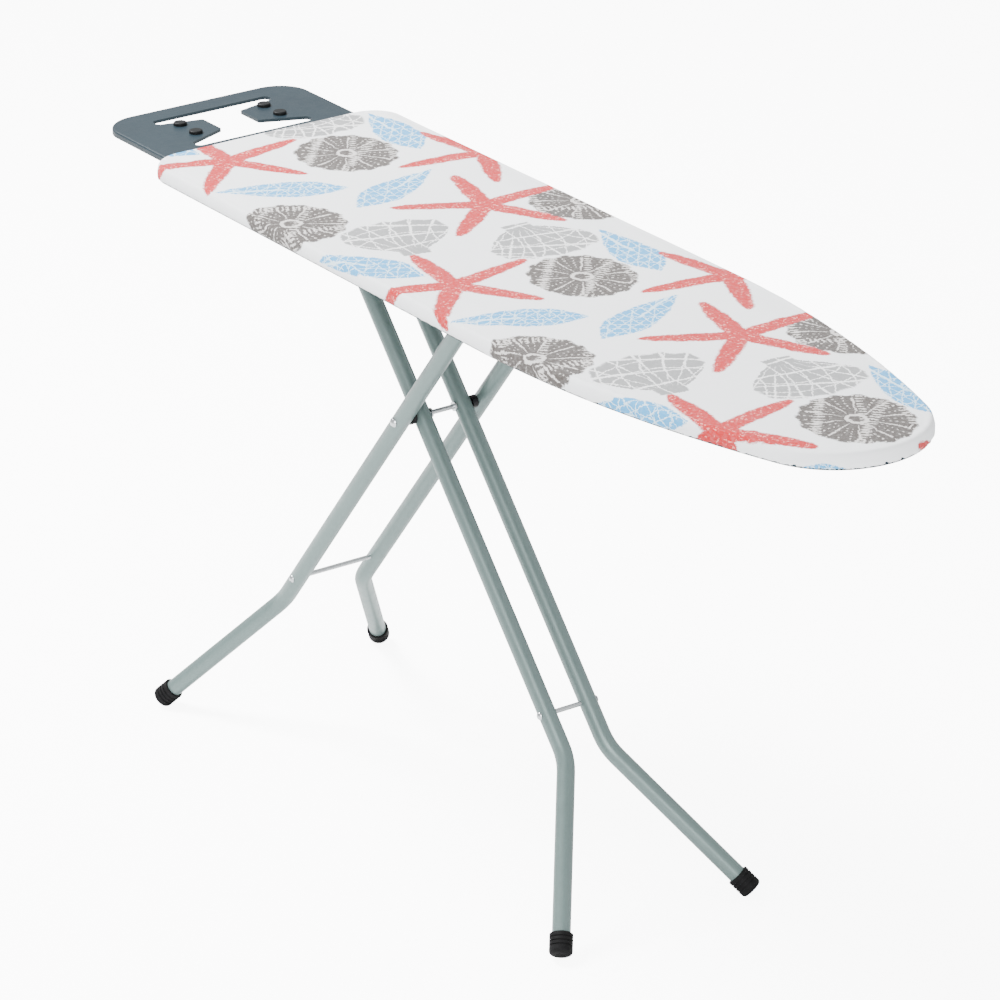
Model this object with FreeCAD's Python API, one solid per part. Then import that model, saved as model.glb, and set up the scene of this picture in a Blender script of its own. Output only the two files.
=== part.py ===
import FreeCAD, Part
import math
import os

# Folding ironing board, millimetres. Origin: on the floor, under the middle of the outline.
# +X towards the nose, +Y to the left of someone looking at the nose, +Z up.
os.makedirs("parts", exist_ok=True)
Vector = FreeCAD.Vector

# Driving sizes: the whole object
TOTAL_LENGTH = 1444.0
COVER_LENGTH = 1271.0
BOARD_WIDTH = 344.0
IRONING_HEIGHT = 757.0
PIVOT_HEIGHT = 512.0
PIVOT_FROM_COVER_END = 392.0
LEG_ANGLE = 49.0
FOLDED_ANGLE = 3.0
RAISED_ANGLE = 58.0

# Board outline in plan
END_CORNER_RADIUS = 45.0
STRAIGHT_LENGTH = 735.0
NOSE_RADIUS = 105.0

# Layers of the board, from the ironing surface down
COVER_THICKNESS = 1.0
FOAM_THICKNESS = 5.0
SHEET_THICKNESS = 1.2
RIM_DEPTH = 14.0
RIM_THICKNESS = 1.5
RIM_FLANGE = 9.0
COVER_TO_RIM = 0.2
HEM_WIDTH = 20.0
PERFORATION_DIAMETER = 11.0
PERFORATION_PITCH_X = 34.0
PERFORATION_PITCH_Y = 30.0
PERFORATION_MARGIN = 14.0

# Iron rest, a pressed plate fixed under the board's end
REST_WIDTH = 278.0
REST_CORNER_RADIUS = 45.0
REST_INNER_RADIUS = 26.0
REST_RIM_DEPTH = 8.0
REST_EDGE_RADIUS = 2.5
REST_TONGUE_WIDTH = 210.0
REST_TONGUE_LENGTH = 40.0
REST_INNER_OVERLAP = 13.0
SLOT_FROM_END = 35.0
SLOT_FROM_COVER = 20.0
SLOT_HALF_LENGTH = 84.0
SLOT_END_WIDTH = 16.0
SLOT_CORNER_RADIUS = 7.0
TAB_TAPER = 31.0
TAB_TIP_LENGTH = 46.0
TAB_TIP_RADIUS = 4.0
TAB_GAP = 54.0
SLOT_LIP_DEPTH = 4.0
REST_PAD_DIAMETER = 17.0
REST_PAD_HEIGHT = 4.0
REST_PAD_SPREAD = 122.0

# Leg frames
TUBE_DIAMETER = 22.0
TUBE_WALL = 1.2
OUTER_LEG_SPREAD = 116.0
INNER_LEG_SPREAD = 58.0
BRACE_FROM_PIVOT = 392.0
BEND_BELOW_BRACE = 42.0
BEND_RADIUS = 70.0
BEND_ANGLE = 26.5
BRACE_DIAMETER = 6.0
PIVOT_ROD_DIAMETER = 6.0
FOOT_DIAMETER = 28.0
FOOT_SLEEVE = 22.0
FOOT_SOLE = 4.0
FOOT_EDGE_RADIUS = 5.0
RUNNING_FIT = 0.05
SIDE_GAP = 0.3

# Fittings under the board
HINGE_DROP = 42.0
HINGE_ROD_DIAMETER = 8.0
HINGE_TUBE_LENGTH = 114.0
BUSH_FLANGE = 2.5
BRACKET_THICKNESS = 2.0
BRACKET_WIDTH = 44.0
BRACKET_NOSE_RADIUS = 12.0
FLANGE_WIDTH = 20.0
SLIDE_BAR_DIAMETER = 10.0
LEG_PAST_BAR = 8.0
ROLLER_DIAMETER = 19.6
ROLLER_WIDTH = 14.0
ROLLER_CLEARANCE = 0.6
ROLLER_INNER_Y = 81.0
RAIL_THICKNESS = 1.5
RAIL_FLANGE = 21.0
RAIL_END_ROOM = 20.0
RIVET_DIAMETER = 5.0
RIVET_HEAD_DIAMETER = 9.0
RIVET_HEAD_HEIGHT = 1.8
CAP_DIAMETER = 14.0
CAP_HEIGHT = 3.0

# Height latch
LATCH_NOTCHES = 5
LATCH_PITCH = 36.6
LATCH_PLATE_THICKNESS = 2.5
LATCH_CLEARANCE = 0.8
LATCH_END = 12.0
LEVER_WIDTH = 20.0
LEVER_THICKNESS = 2.0
LEVER_PIN_DIAMETER = 6.0
LEVER_PIN_Y = 64.0
LEVER_EYE_RADIUS = 5.0
EAR_HALF_WIDTH = 7.0
EAR_FOOT = 14.0
LEVER_STRIP_DROP = 17.0
LEVER_GRIP_DROP = 41.0
LEVER_REACH = 166.0
GRIP_LENGTH = 38.0
GRIP_HEIGHT = 11.0
SPRING_RADIUS = 5.0
SPRING_WIRE = 1.2
SPRING_TURNS = 5.0
SPRING_Y = 26.0

# Levels and stations that follow from the sizes
rest_end_x = -TOTAL_LENGTH / 2
tip_x = TOTAL_LENGTH / 2
cover_end_x = tip_x - COVER_LENGTH
pivot_x = cover_end_x + PIVOT_FROM_COVER_END
half_width = BOARD_WIDTH / 2
sheet_top = IRONING_HEIGHT - COVER_THICKNESS - FOAM_THICKNESS
sheet_bottom = sheet_top - SHEET_THICKNESS
plate_bottom = sheet_bottom - SHEET_THICKNESS
rim_bottom = sheet_top - RIM_DEPTH
hinge_z = IRONING_HEIGHT - HINGE_DROP
top_length = (hinge_z - PIVOT_HEIGHT) / math.sin(math.radians(LEG_ANGLE))
hinge_x = pivot_x - top_length * math.cos(math.radians(LEG_ANGLE))
tube_radius = TUBE_DIAMETER / 2
outer_leg_y = OUTER_LEG_SPREAD / 2
inner_leg_y = INNER_LEG_SPREAD / 2


def bar_x(angle):
    """Place of the slide bar when the legs stand at this angle to the board."""
    return hinge_x + 2 * top_length * math.cos(math.radians(angle))


def save(name, shape):
    shape.exportStep("parts/" + name + ".step")


def group(solids):
    return Part.makeCompound(solids)


def box(x0, x1, y0, y1, z0, z1):
    return Part.makeBox(x1 - x0, y1 - y0, z1 - z0, Vector(x0, y0, z0))


def rod_y(x, z, radius, y0, y1):
    """Cylinder along Y."""
    return Part.makeCylinder(radius, y1 - y0, Vector(x, y0, z), Vector(0, 1, 0))


def rounded_wire(corners):
    """Closed flat outline in XY through corners (x, y, radius), each rounded by a tangent arc."""
    starts, mids, ends = [], [], []
    count = len(corners)
    for i, (x, y, radius) in enumerate(corners):
        here = Vector(x, y, 0)
        back = (Vector(*corners[i - 1][:2], 0) - here).normalize()
        ahead = (Vector(*corners[(i + 1) % count][:2], 0) - here).normalize()
        half = back.getAngle(ahead) / 2
        reach = radius / math.tan(half)
        starts.append(here + back * reach)
        ends.append(here + ahead * reach)
        middle = (back + ahead).normalize() * (radius / math.sin(half) - radius)
        mids.append(here + middle)
    edges = []
    for i in range(count):
        if corners[i][2] > 0:
            edges.append(Part.Arc(starts[i], mids[i], ends[i]).toShape())
        following = starts[(i + 1) % count]
        if (following - ends[i]).Length > 1e-6:
            edges.append(Part.LineSegment(ends[i], following).toShape())
    return Part.Wire(edges)


def slab(wire, z0, z1):
    """Flat plate of an outline, from z0 up to z1."""
    plate = Part.Face(wire).extrude(Vector(0, 0, z1 - z0))
    plate.translate(Vector(0, 0, z0))
    return plate


def mirrored(shape):
    return shape.mirror(Vector(0, 0, 0), Vector(0, 1, 0))


# The board's plan: straight sides, a long arc on each side, and a round nose tangent to both.
straight_end_x = cover_end_x + STRAIGHT_LENGTH
nose_centre_x = tip_x - NOSE_RADIUS
reach_to_nose = nose_centre_x - straight_end_x
side_radius = (reach_to_nose ** 2 + half_width ** 2 - NOSE_RADIUS ** 2) / (2 * (half_width - NOSE_RADIUS))
side_turn = math.atan2(reach_to_nose, side_radius - half_width)
nose_start_x = straight_end_x + side_radius * math.sin(side_turn)


def outline_half_width(x):
    """Half width of the board's plan at x, away from its end corners."""
    if x <= straight_end_x:
        return half_width
    if x <= nose_start_x:
        drop = side_radius - math.sqrt(side_radius ** 2 - (x - straight_end_x) ** 2)
        return half_width - drop
    return math.sqrt(max(NOSE_RADIUS ** 2 - (x - nose_centre_x) ** 2, 0.0))


def board_wire(offset):
    """Outline of the board, moved outwards by offset."""
    width = half_width + offset
    end_x = cover_end_x - offset
    corner = END_CORNER_RADIUS + offset
    nose = NOSE_RADIUS + offset
    side = side_radius + offset
    corner_x = end_x + corner
    corner_y = width - corner
    diagonal = corner * math.sqrt(0.5)
    side_centre = Vector(straight_end_x, half_width - side_radius, 0)
    half_turn = side_turn / 2
    side_mid = side_centre + Vector(math.sin(half_turn), math.cos(half_turn), 0) * side
    side_end = side_centre + Vector(math.sin(side_turn), math.cos(side_turn), 0) * side
    nose_tip = Vector(nose_centre_x + nose, 0, 0)

    def flip(point):
        return Vector(point.x, -point.y, 0)

    corner_start = Vector(end_x, corner_y, 0)
    corner_mid = Vector(corner_x - diagonal, corner_y + diagonal, 0)
    corner_end = Vector(corner_x, width, 0)
    side_start = Vector(straight_end_x, width, 0)
    edges = [
        Part.LineSegment(flip(corner_start), corner_start),
        Part.Arc(corner_start, corner_mid, corner_end),
        Part.LineSegment(corner_end, side_start),
        Part.Arc(side_start, side_mid, side_end),
        Part.Arc(side_end, nose_tip, flip(side_end)),
        Part.Arc(flip(side_end), flip(side_mid), flip(side_start)),
        Part.LineSegment(flip(side_start), flip(corner_end)),
        Part.Arc(flip(corner_end), flip(corner_mid), flip(corner_start)),
    ]
    return Part.Wire([edge.toShape() for edge in edges])


# Offsets of the layers from the cover's outer face
cover_inner = -COVER_THICKNESS
rim_outer = cover_inner - COVER_TO_RIM
rim_inner = rim_outer - RIM_THICKNESS
rest_gap = REST_WIDTH / 2 - REST_INNER_RADIUS * (1 - math.sqrt(0.75)) + 1.0


def end_gap(z0, z1):
    """Room in the board's end wall for the iron rest to pass through."""
    return box(cover_end_x - 5, cover_end_x + END_CORNER_RADIUS, -rest_gap, rest_gap, z0, z1)


# Fabric cover: top, side walls and the elastic hem that turns in under the rim
def make_cover():
    hem_top = rim_bottom - COVER_TO_RIM
    hem_bottom = hem_top - COVER_THICKNESS
    outer = slab(board_wire(0), hem_bottom, IRONING_HEIGHT)
    inner = slab(board_wire(cover_inner), hem_top, IRONING_HEIGHT - COVER_THICKNESS)
    mouth = slab(board_wire(cover_inner - HEM_WIDTH), hem_bottom - 1, hem_top + 1)
    cover = outer.cut(inner).cut(mouth)
    return cover.cut(end_gap(hem_bottom - 1, sheet_top))


# Foam pad, one flat layer between the steel top and the cover
def make_foam():
    return slab(board_wire(cover_inner - COVER_TO_RIM), sheet_top, sheet_top + FOAM_THICKNESS)


# Rim: an L-shaped steel strip welded round the perforated sheet, in seven lengths butted end to end,
# open at the end where the iron rest passes through
rim_lengths = {
    "corner": (cover_end_x, cover_end_x + END_CORNER_RADIUS),
    "side": (cover_end_x + END_CORNER_RADIUS, straight_end_x),
    "taper": (straight_end_x, nose_start_x),
}


def make_rim():
    """The whole rim, as a dict of its lengths by name."""
    block = slab(board_wire(rim_outer), rim_bottom, sheet_top)
    hollow = slab(board_wire(rim_inner), rim_bottom + RIM_THICKNESS, sheet_top + 1)
    mouth = slab(board_wire(rim_inner - RIM_FLANGE), rim_bottom - 1, sheet_top)
    rim = block.cut(hollow).cut(mouth).cut(end_gap(rim_bottom - 1, sheet_top + 1))
    strips = {}
    for part, (x0, x1) in rim_lengths.items():
        left = rim.common(box(x0, x1, 0, half_width, rim_bottom, sheet_top))
        strips["rim_" + part + "_left"] = left
        strips["rim_" + part + "_right"] = mirrored(left)
    strips["rim_nose"] = rim.common(box(nose_start_x, tip_x, -half_width, half_width, rim_bottom, sheet_top))
    return strips


# Places of the rivets and of the fittings' feet on the underside of the sheet
rest_body_end_x = cover_end_x + REST_INNER_OVERLAP
tongue_end_x = rest_body_end_x + REST_TONGUE_LENGTH
rest_rivets = [
    (tongue_end_x - 12, side * REST_TONGUE_WIDTH * share)
    for side in (-1, 1) for share in (0.15, 0.42)
]
rail_start_x = bar_x(RAISED_ANGLE) - RAIL_END_ROOM
rail_end_x = bar_x(FOLDED_ANGLE) + RAIL_END_ROOM
rail_web_y = ROLLER_INNER_Y + ROLLER_WIDTH + CAP_HEIGHT + 1.0
rail_outer_y = rail_web_y + RAIL_THICKNESS
rail_foot_y = rail_outer_y + FLANGE_WIDTH
RAIL_RIVETS = 4
rail_rivet_pitch = (rail_end_x - rail_start_x - 2 * FLANGE_WIDTH) / (RAIL_RIVETS - 1)
rail_rivets = [
    (rail_start_x + FLANGE_WIDTH + i * rail_rivet_pitch, side * (rail_outer_y + FLANGE_WIDTH / 2))
    for side in (-1, 1) for i in range(RAIL_RIVETS)
]
bracket_inner_y = HINGE_TUBE_LENGTH / 2 + BUSH_FLANGE + 1.0
bracket_outer_y = bracket_inner_y + BRACKET_THICKNESS
bracket_foot_y = bracket_outer_y + FLANGE_WIDTH
hinge_rivets = [
    (hinge_x + step * BRACKET_WIDTH / 4, side * (bracket_outer_y + FLANGE_WIDTH / 2))
    for side in (-1, 1) for step in (-1, 1)
]
latch_start_x = bar_x(LEG_ANGLE) - (LATCH_NOTCHES // 2) * LATCH_PITCH - LATCH_END
latch_end_x = bar_x(LEG_ANGLE) + (LATCH_NOTCHES // 2) * LATCH_PITCH + LATCH_END
lever_x = latch_end_x + LEVER_WIDTH / 2
strip_top = sheet_bottom - LEVER_STRIP_DROP
strip_bottom = strip_top - LEVER_THICKNESS
grip_z = sheet_bottom - LEVER_GRIP_DROP
lever_pin_z = strip_bottom + LEVER_EYE_RADIUS
ear_x = LEVER_WIDTH / 2 + 1.0
foot_end_x = ear_x + BRACKET_THICKNESS + EAR_FOOT
lever_rivets = [
    (lever_x + side * (foot_end_x - EAR_FOOT / 2), -LEVER_PIN_Y) for side in (-1, 1)
]
spring_room = SPRING_RADIUS + SPRING_WIRE
keep_outs = [
    (cover_end_x, tongue_end_x + EAR_HALF_WIDTH, -REST_WIDTH / 2, REST_WIDTH / 2),
    (hinge_x - BRACKET_WIDTH / 2, hinge_x + BRACKET_WIDTH / 2, bracket_inner_y, bracket_foot_y),
    (rail_start_x, rail_end_x, rail_web_y, rail_foot_y),
    (lever_x - foot_end_x, lever_x + foot_end_x, LEVER_PIN_Y - EAR_HALF_WIDTH, LEVER_PIN_Y + EAR_HALF_WIDTH),
    (lever_x - spring_room, lever_x + spring_room, SPRING_Y - spring_room, SPRING_Y + spring_room),
]


def clear_of_feet(x, y):
    """True where a hole of the perforation misses every riveted foot."""
    room = PERFORATION_DIAMETER / 2 + 2
    for x0, x1, y0, y1 in keep_outs:
        if x0 - room < x < x1 + room and y0 - room < abs(y) < y1 + room:
            return False
    return True


def perforation():
    """Centres of the holes in staggered rows, inside a plain margin along the rim."""
    centres = []
    rows = int(half_width / PERFORATION_PITCH_Y)
    columns = int(COVER_LENGTH / PERFORATION_PITCH_X) + 1
    margin = PERFORATION_MARGIN + PERFORATION_DIAMETER / 2
    for row in range(-rows, rows + 1):
        y = row * PERFORATION_PITCH_Y
        shift = (row % 2) * PERFORATION_PITCH_X / 2
        for column in range(columns):
            x = cover_end_x + margin + column * PERFORATION_PITCH_X + shift
            nose_room = math.hypot(max(x - nose_centre_x, 0), y) < NOSE_RADIUS - margin
            if x > nose_centre_x and not nose_room:
                continue
            if abs(y) < outline_half_width(x) - margin and clear_of_feet(x, y):
                centres.append((x, y))
    return centres


# Perforated steel sheet that carries the pad
def make_sheet():
    holes = [(x, y, PERFORATION_DIAMETER / 2) for x, y in perforation()]
    fixings = rest_rivets + rail_rivets + hinge_rivets + lever_rivets
    holes += [(x, y, RIVET_DIAMETER / 2) for x, y in fixings]
    wires = [Part.Wire(Part.makeCircle(r, Vector(x, y, 0))) for x, y, r in holes]
    face = Part.Face([board_wire(rim_inner)] + wires)
    sheet = face.extrude(Vector(0, 0, SHEET_THICKNESS))
    sheet.translate(Vector(0, 0, sheet_bottom))
    return sheet


def rivet(x, y, foot_thickness):
    """Flush rivet through the sheet and a fitting's foot, with a domed head below."""
    head_z = sheet_bottom - foot_thickness
    shank = Part.makeCylinder(RIVET_DIAMETER / 2, sheet_top - head_z, Vector(x, y, head_z))
    bulge = (RIVET_HEAD_DIAMETER ** 2 / 4 + RIVET_HEAD_HEIGHT ** 2) / (2 * RIVET_HEAD_HEIGHT)
    ball = Part.makeSphere(bulge, Vector(x, y, head_z - RIVET_HEAD_HEIGHT + bulge))
    half_head = RIVET_HEAD_DIAMETER
    slice_box = box(x - half_head, x + half_head, y - half_head, y + half_head,
                    head_z - RIVET_HEAD_HEIGHT - 1, head_z)
    return shank.fuse(ball.common(slice_box)).removeSplitter()


# Iron rest: pressed pan with a tongue under the board, and a cut-out that leaves two tabs
rest_half = REST_WIDTH / 2


def rest_wire(inset):
    half = rest_half - inset
    outer = REST_CORNER_RADIUS - inset
    inner = REST_INNER_RADIUS - inset
    x0 = rest_end_x + inset
    x1 = rest_body_end_x - inset
    return rounded_wire([(x0, -half, outer), (x1, -half, inner), (x1, half, inner), (x0, half, outer)])


slot_outer_x = rest_end_x + SLOT_FROM_END
tab_tip_start_x = slot_outer_x + TAB_TAPER
tab_tip_end_x = tab_tip_start_x + TAB_TIP_LENGTH
slot_inner_x = cover_end_x - SLOT_FROM_COVER


def cutout_wire():
    """I-shaped opening: two cross slots joined by a window, with tapering tabs between them."""
    tip = TAB_GAP / 2
    half = [
        (slot_outer_x, SLOT_HALF_LENGTH, SLOT_CORNER_RADIUS),
        (slot_outer_x + SLOT_END_WIDTH, SLOT_HALF_LENGTH, SLOT_CORNER_RADIUS),
        (tab_tip_start_x, tip, TAB_TIP_RADIUS),
        (tab_tip_end_x, tip, TAB_TIP_RADIUS),
        (slot_inner_x - SLOT_END_WIDTH, SLOT_HALF_LENGTH, SLOT_CORNER_RADIUS),
        (slot_inner_x, SLOT_HALF_LENGTH, SLOT_CORNER_RADIUS),
    ]
    other = [(x, -y, r) for x, y, r in reversed(half)]
    return rounded_wire(half + other)


def top_edges(solid, z):
    flat = [edge for edge in solid.Edges if edge.BoundBox.ZLength < 0.01]
    return [edge for edge in flat if abs(edge.BoundBox.ZMin - z) < 0.01]


def make_rest():
    low = sheet_bottom - REST_RIM_DEPTH
    pan = slab(rest_wire(0), low, sheet_bottom)
    pan = pan.makeFillet(REST_EDGE_RADIUS, top_edges(pan, sheet_bottom))
    hollow = slab(rest_wire(SHEET_THICKNESS), low - 1, plate_bottom)
    hollow = hollow.makeFillet(REST_EDGE_RADIUS - SHEET_THICKNESS, top_edges(hollow, plate_bottom))
    pan = pan.cut(hollow)
    under_board = box(cover_end_x - 2, rest_body_end_x + 2, -rest_half, rest_half, low - 1, plate_bottom)
    pan = pan.cut(under_board)
    half_tongue = REST_TONGUE_WIDTH / 2
    tongue_start_x = cover_end_x - 2
    tongue = slab(rounded_wire([
        (tongue_start_x, -half_tongue, 0.0), (tongue_end_x, -half_tongue, 8.0),
        (tongue_end_x, half_tongue, 8.0), (tongue_start_x, half_tongue, 0.0),
    ]), plate_bottom, sheet_bottom)
    plate = pan.fuse(tongue)
    opening = Part.Face(cutout_wire())
    lip = opening.makeOffset2D(SHEET_THICKNESS).extrude(Vector(0, 0, SLOT_LIP_DEPTH))
    lip.translate(Vector(0, 0, sheet_bottom - SLOT_LIP_DEPTH))
    plate = plate.fuse(lip)
    plate = plate.cut(slab(cutout_wire(), low - 1, sheet_top))
    for x, y in rest_rivets:
        plate = plate.cut(Part.makeCylinder(RIVET_DIAMETER / 2, 10, Vector(x, y, plate_bottom - 5)))
    for x, y in rest_pad_places:
        plate = plate.cut(Part.makeCylinder(PAD_STEM_RADIUS, 10, Vector(x, y, plate_bottom - 5)))
    return plate.removeSplitter()


# Heat-proof pads on the tabs, each a button with a stem pressed through the plate
PAD_STEM_RADIUS = 3.0
pad_x = [tab_tip_start_x + 2.0, tab_tip_end_x - 5.0]
rest_pad_places = [(x, side * REST_PAD_SPREAD / 2) for side in (1, -1) for x in pad_x]


def make_rest_pad(x, y):
    button = Part.makeCylinder(REST_PAD_DIAMETER / 2, REST_PAD_HEIGHT, Vector(x, y, sheet_bottom))
    button = button.makeFillet(REST_PAD_HEIGHT * 0.4, top_edges(button, sheet_bottom + REST_PAD_HEIGHT))
    stem = Part.makeCylinder(PAD_STEM_RADIUS, SHEET_THICKNESS + 1.0, Vector(x, y, plate_bottom - 1.0))
    collar = Part.makeCylinder(PAD_STEM_RADIUS + 1.5, 1.5, Vector(x, y, plate_bottom - 1.5))
    return button.fuse(stem).fuse(collar).removeSplitter()


# Fixed hinge of the inner legs: two brackets, a rod and push-on caps
def make_bracket():
    """Left bracket: an upright plate with a rounded nose, and a foot riveted to the sheet."""
    half = BRACKET_WIDTH / 2
    nose = BRACKET_NOSE_RADIUS
    depth = sheet_bottom - hinge_z
    plate = slab(rounded_wire([
        (-half, depth, 0.0), (-nose, -nose, nose - 0.01), (nose, -nose, nose - 0.01), (half, depth, 0.0),
    ]), 0, BRACKET_THICKNESS)
    plate.rotate(Vector(0, 0, 0), Vector(1, 0, 0), 90)
    plate.translate(Vector(hinge_x, bracket_outer_y, hinge_z))
    foot = box(hinge_x - half, hinge_x + half, bracket_inner_y, bracket_foot_y,
               sheet_bottom - BRACKET_THICKNESS, sheet_bottom)
    bracket = plate.fuse(foot)
    bracket = bracket.cut(rod_y(hinge_x, hinge_z, HINGE_ROD_DIAMETER / 2, 0, bracket_foot_y))
    for x, y in hinge_rivets:
        bracket = bracket.cut(Part.makeCylinder(RIVET_DIAMETER / 2, 10, Vector(x, y, sheet_bottom - 8)))
    return bracket.removeSplitter()


def push_cap(x, z, y, facing, bore):
    """Domed push-on cap on a rod along Y: its flat face at y, its dome towards facing."""
    dome_height = CAP_HEIGHT * 0.7
    skirt = rod_y(x, z, CAP_DIAMETER / 2, min(y, y + facing), max(y, y + facing))
    bulge = (CAP_DIAMETER ** 2 / 4 + dome_height ** 2) / (2 * dome_height)
    top = y + facing * (1 + dome_height)
    ball = Part.makeSphere(bulge, Vector(x, top - facing * bulge, z))
    radius = CAP_DIAMETER
    low, high = sorted((y + facing, top + facing))
    dome = ball.common(box(x - radius, x + radius, low, high, z - radius, z + radius))
    cap = skirt.fuse(dome)
    inside = y + facing * bore
    return cap.cut(rod_y(x, z, HINGE_ROD_DIAMETER / 2, min(y, inside), max(y, inside))).removeSplitter()


hinge_rod_half = bracket_outer_y + 2.0


def make_hinge_rod():
    return rod_y(hinge_x, hinge_z, HINGE_ROD_DIAMETER / 2, -hinge_rod_half, hinge_rod_half)


def make_hinge_caps():
    bore = hinge_rod_half - bracket_outer_y
    cap = push_cap(hinge_x, hinge_z, bracket_outer_y, 1, bore)
    return group([cap, mirrored(cap)])


# Rails: channels open towards the middle, hung from the sheet by a web with a riveted foot
window_room = 6.0


def make_rail(side):
    roller_room = ROLLER_DIAMETER / 2 + ROLLER_CLEARANCE
    inner_y = rail_outer_y - RAIL_FLANGE
    low = hinge_z - roller_room - RAIL_THICKNESS
    top_shelf = hinge_z + roller_room
    x0, x1 = rail_start_x, rail_end_x
    web = box(x0, x1, rail_web_y, rail_outer_y, low, sheet_bottom)
    lower = box(x0, x1, inner_y, rail_outer_y, low, low + RAIL_THICKNESS)
    upper = box(x0, x1, inner_y, rail_outer_y, top_shelf, top_shelf + RAIL_THICKNESS)
    foot = box(x0, x1, rail_web_y, rail_foot_y, sheet_bottom - RAIL_THICKNESS, sheet_bottom)
    rail = web.fuse(lower).fuse(upper).fuse(foot)
    if side > 0:
        half = LEVER_WIDTH / 2 + window_room
        window = box(lever_x - half, lever_x + half, inner_y - 1, rail_foot_y + 1,
                     top_shelf + RAIL_THICKNESS + 0.5, sheet_bottom - RAIL_THICKNESS)
        rail = rail.cut(window)
    for x, y in rail_rivets:
        rail = rail.cut(Part.makeCylinder(RIVET_DIAMETER / 2, 10, Vector(x, abs(y), sheet_bottom - 8)))
    rail = rail.removeSplitter()
    return rail if side > 0 else mirrored(rail)


# Leg frames. Each is built lying along +X with its pivot at the origin, then stood up.
def stand_up(shape, inner):
    angle = LEG_ANGLE if inner else 180 - LEG_ANGLE
    placed = shape.copy()
    placed.rotate(Vector(0, 0, 0), Vector(0, 1, 0), angle)
    placed.translate(Vector(pivot_x, 0, PIVOT_HEIGHT))
    return placed


bend_turn = math.radians(BEND_ANGLE)
bend_start = BRACE_FROM_PIVOT + BEND_BELOW_BRACE
foot_slope = math.sin(math.radians(LEG_ANGLE)) * math.cos(bend_turn)
foot_radius = FOOT_DIAMETER / 2
sole_rise = (foot_radius - FOOT_EDGE_RADIUS) * math.sqrt(1 - foot_slope ** 2) + FOOT_EDGE_RADIUS
sole_reach = (PIVOT_HEIGHT - sole_rise) / math.sin(math.radians(LEG_ANGLE))
bend_end = bend_start + BEND_RADIUS * math.sin(bend_turn)
lower_run = (sole_reach - bend_end) / math.cos(bend_turn) + FOOT_EDGE_RADIUS - FOOT_SOLE
foot_direction = Vector(math.cos(bend_turn), math.sin(bend_turn), 0)


def leg_stations(leg_y):
    """Bend start, middle, end and the tube's lower end, for a leg on the +Y side."""
    start = Vector(bend_start, leg_y, 0)
    centre = start + Vector(0, BEND_RADIUS, 0)
    half = bend_turn / 2
    middle = centre + Vector(math.sin(half), -math.cos(half), 0) * BEND_RADIUS
    end = centre + Vector(math.sin(bend_turn), -math.cos(bend_turn), 0) * BEND_RADIUS
    return start, middle, end, end + foot_direction * lower_run


def bent_bar(top_x, leg_y, radius):
    """Solid round bar along the leg's line."""
    start, middle, end, foot = leg_stations(leg_y)
    top = Vector(top_x, leg_y, 0)
    path = Part.Wire([
        Part.LineSegment(top, start).toShape(),
        Part.Arc(start, middle, end).toShape(),
        Part.LineSegment(end, foot).toShape(),
    ])
    profile = Part.Wire(Part.makeCircle(radius, top, Vector(1, 0, 0)))
    return path.makePipeShell([profile], True, False)


def make_leg(inner):
    """Leg tube on the +Y side, with its cross holes."""
    leg_y = inner_leg_y if inner else outer_leg_y
    top_x = -top_length if inner else -top_length - LEG_PAST_BAR
    leg = bent_bar(top_x, leg_y, tube_radius).cut(bent_bar(top_x, leg_y, tube_radius - TUBE_WALL))
    reach = outer_leg_y + TUBE_DIAMETER
    pivot_radius = PIVOT_ROD_DIAMETER / 2 + (RUNNING_FIT if inner else 0)
    leg = leg.cut(rod_y(0, 0, pivot_radius, 0, reach))
    leg = leg.cut(rod_y(BRACE_FROM_PIVOT, 0, BRACE_DIAMETER / 2, 0, reach))
    crossing = tube_radius if inner else SLIDE_BAR_DIAMETER / 2
    return leg.cut(rod_y(-top_length, 0, crossing, 0, reach))


def make_foot(leg_y):
    """Ribbed rubber cap on the tube's lower end."""
    tube_end = leg_stations(leg_y)[3]
    length = FOOT_SLEEVE + FOOT_SOLE
    cap = Part.makeCylinder(foot_radius, length)
    rims = [edge for edge in cap.Edges if edge.BoundBox.ZLength < 0.01]
    sole = [edge for edge in rims if abs(edge.BoundBox.ZMin - length) < 0.01]
    mouth = [edge for edge in rims if abs(edge.BoundBox.ZMin) < 0.01]
    cap = cap.makeFillet(FOOT_EDGE_RADIUS, sole)
    cap = cap.makeFillet(1.0, mouth)
    cap = cap.cut(Part.makeCylinder(tube_radius, FOOT_SLEEVE))
    for i in range(3):
        z = 5.0 + i * 5.0
        ring = Part.makeCylinder(foot_radius + 1, 1.6, Vector(0, 0, z))
        ring = ring.cut(Part.makeCylinder(foot_radius - 0.9, 1.6, Vector(0, 0, z)))
        cap = cap.cut(ring)
    cap.rotate(Vector(0, 0, 0), Vector(0, 1, 0), 90)
    cap.rotate(Vector(0, 0, 0), Vector(0, 0, 1), BEND_ANGLE)
    cap.translate(tube_end - foot_direction * FOOT_SLEEVE)
    return cap


def make_brace(leg_y):
    return rod_y(BRACE_FROM_PIVOT, 0, BRACE_DIAMETER / 2, -leg_y - tube_radius, leg_y + tube_radius)


def rod_head(x, y, diameter, height):
    """Domed end of a rod, standing on a tube's side at y."""
    bulge = (diameter ** 2 / 4 + height ** 2) / (2 * height)
    ball = Part.makeSphere(bulge, Vector(x, y + height - bulge, 0))
    return ball.common(box(x - diameter, x + diameter, y, y + diameter, -diameter, diameter))


def make_brace_heads(leg_y):
    head = rod_head(BRACE_FROM_PIVOT, leg_y + tube_radius, 10.0, 3.0)
    return group([head, mirrored(head)])


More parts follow.
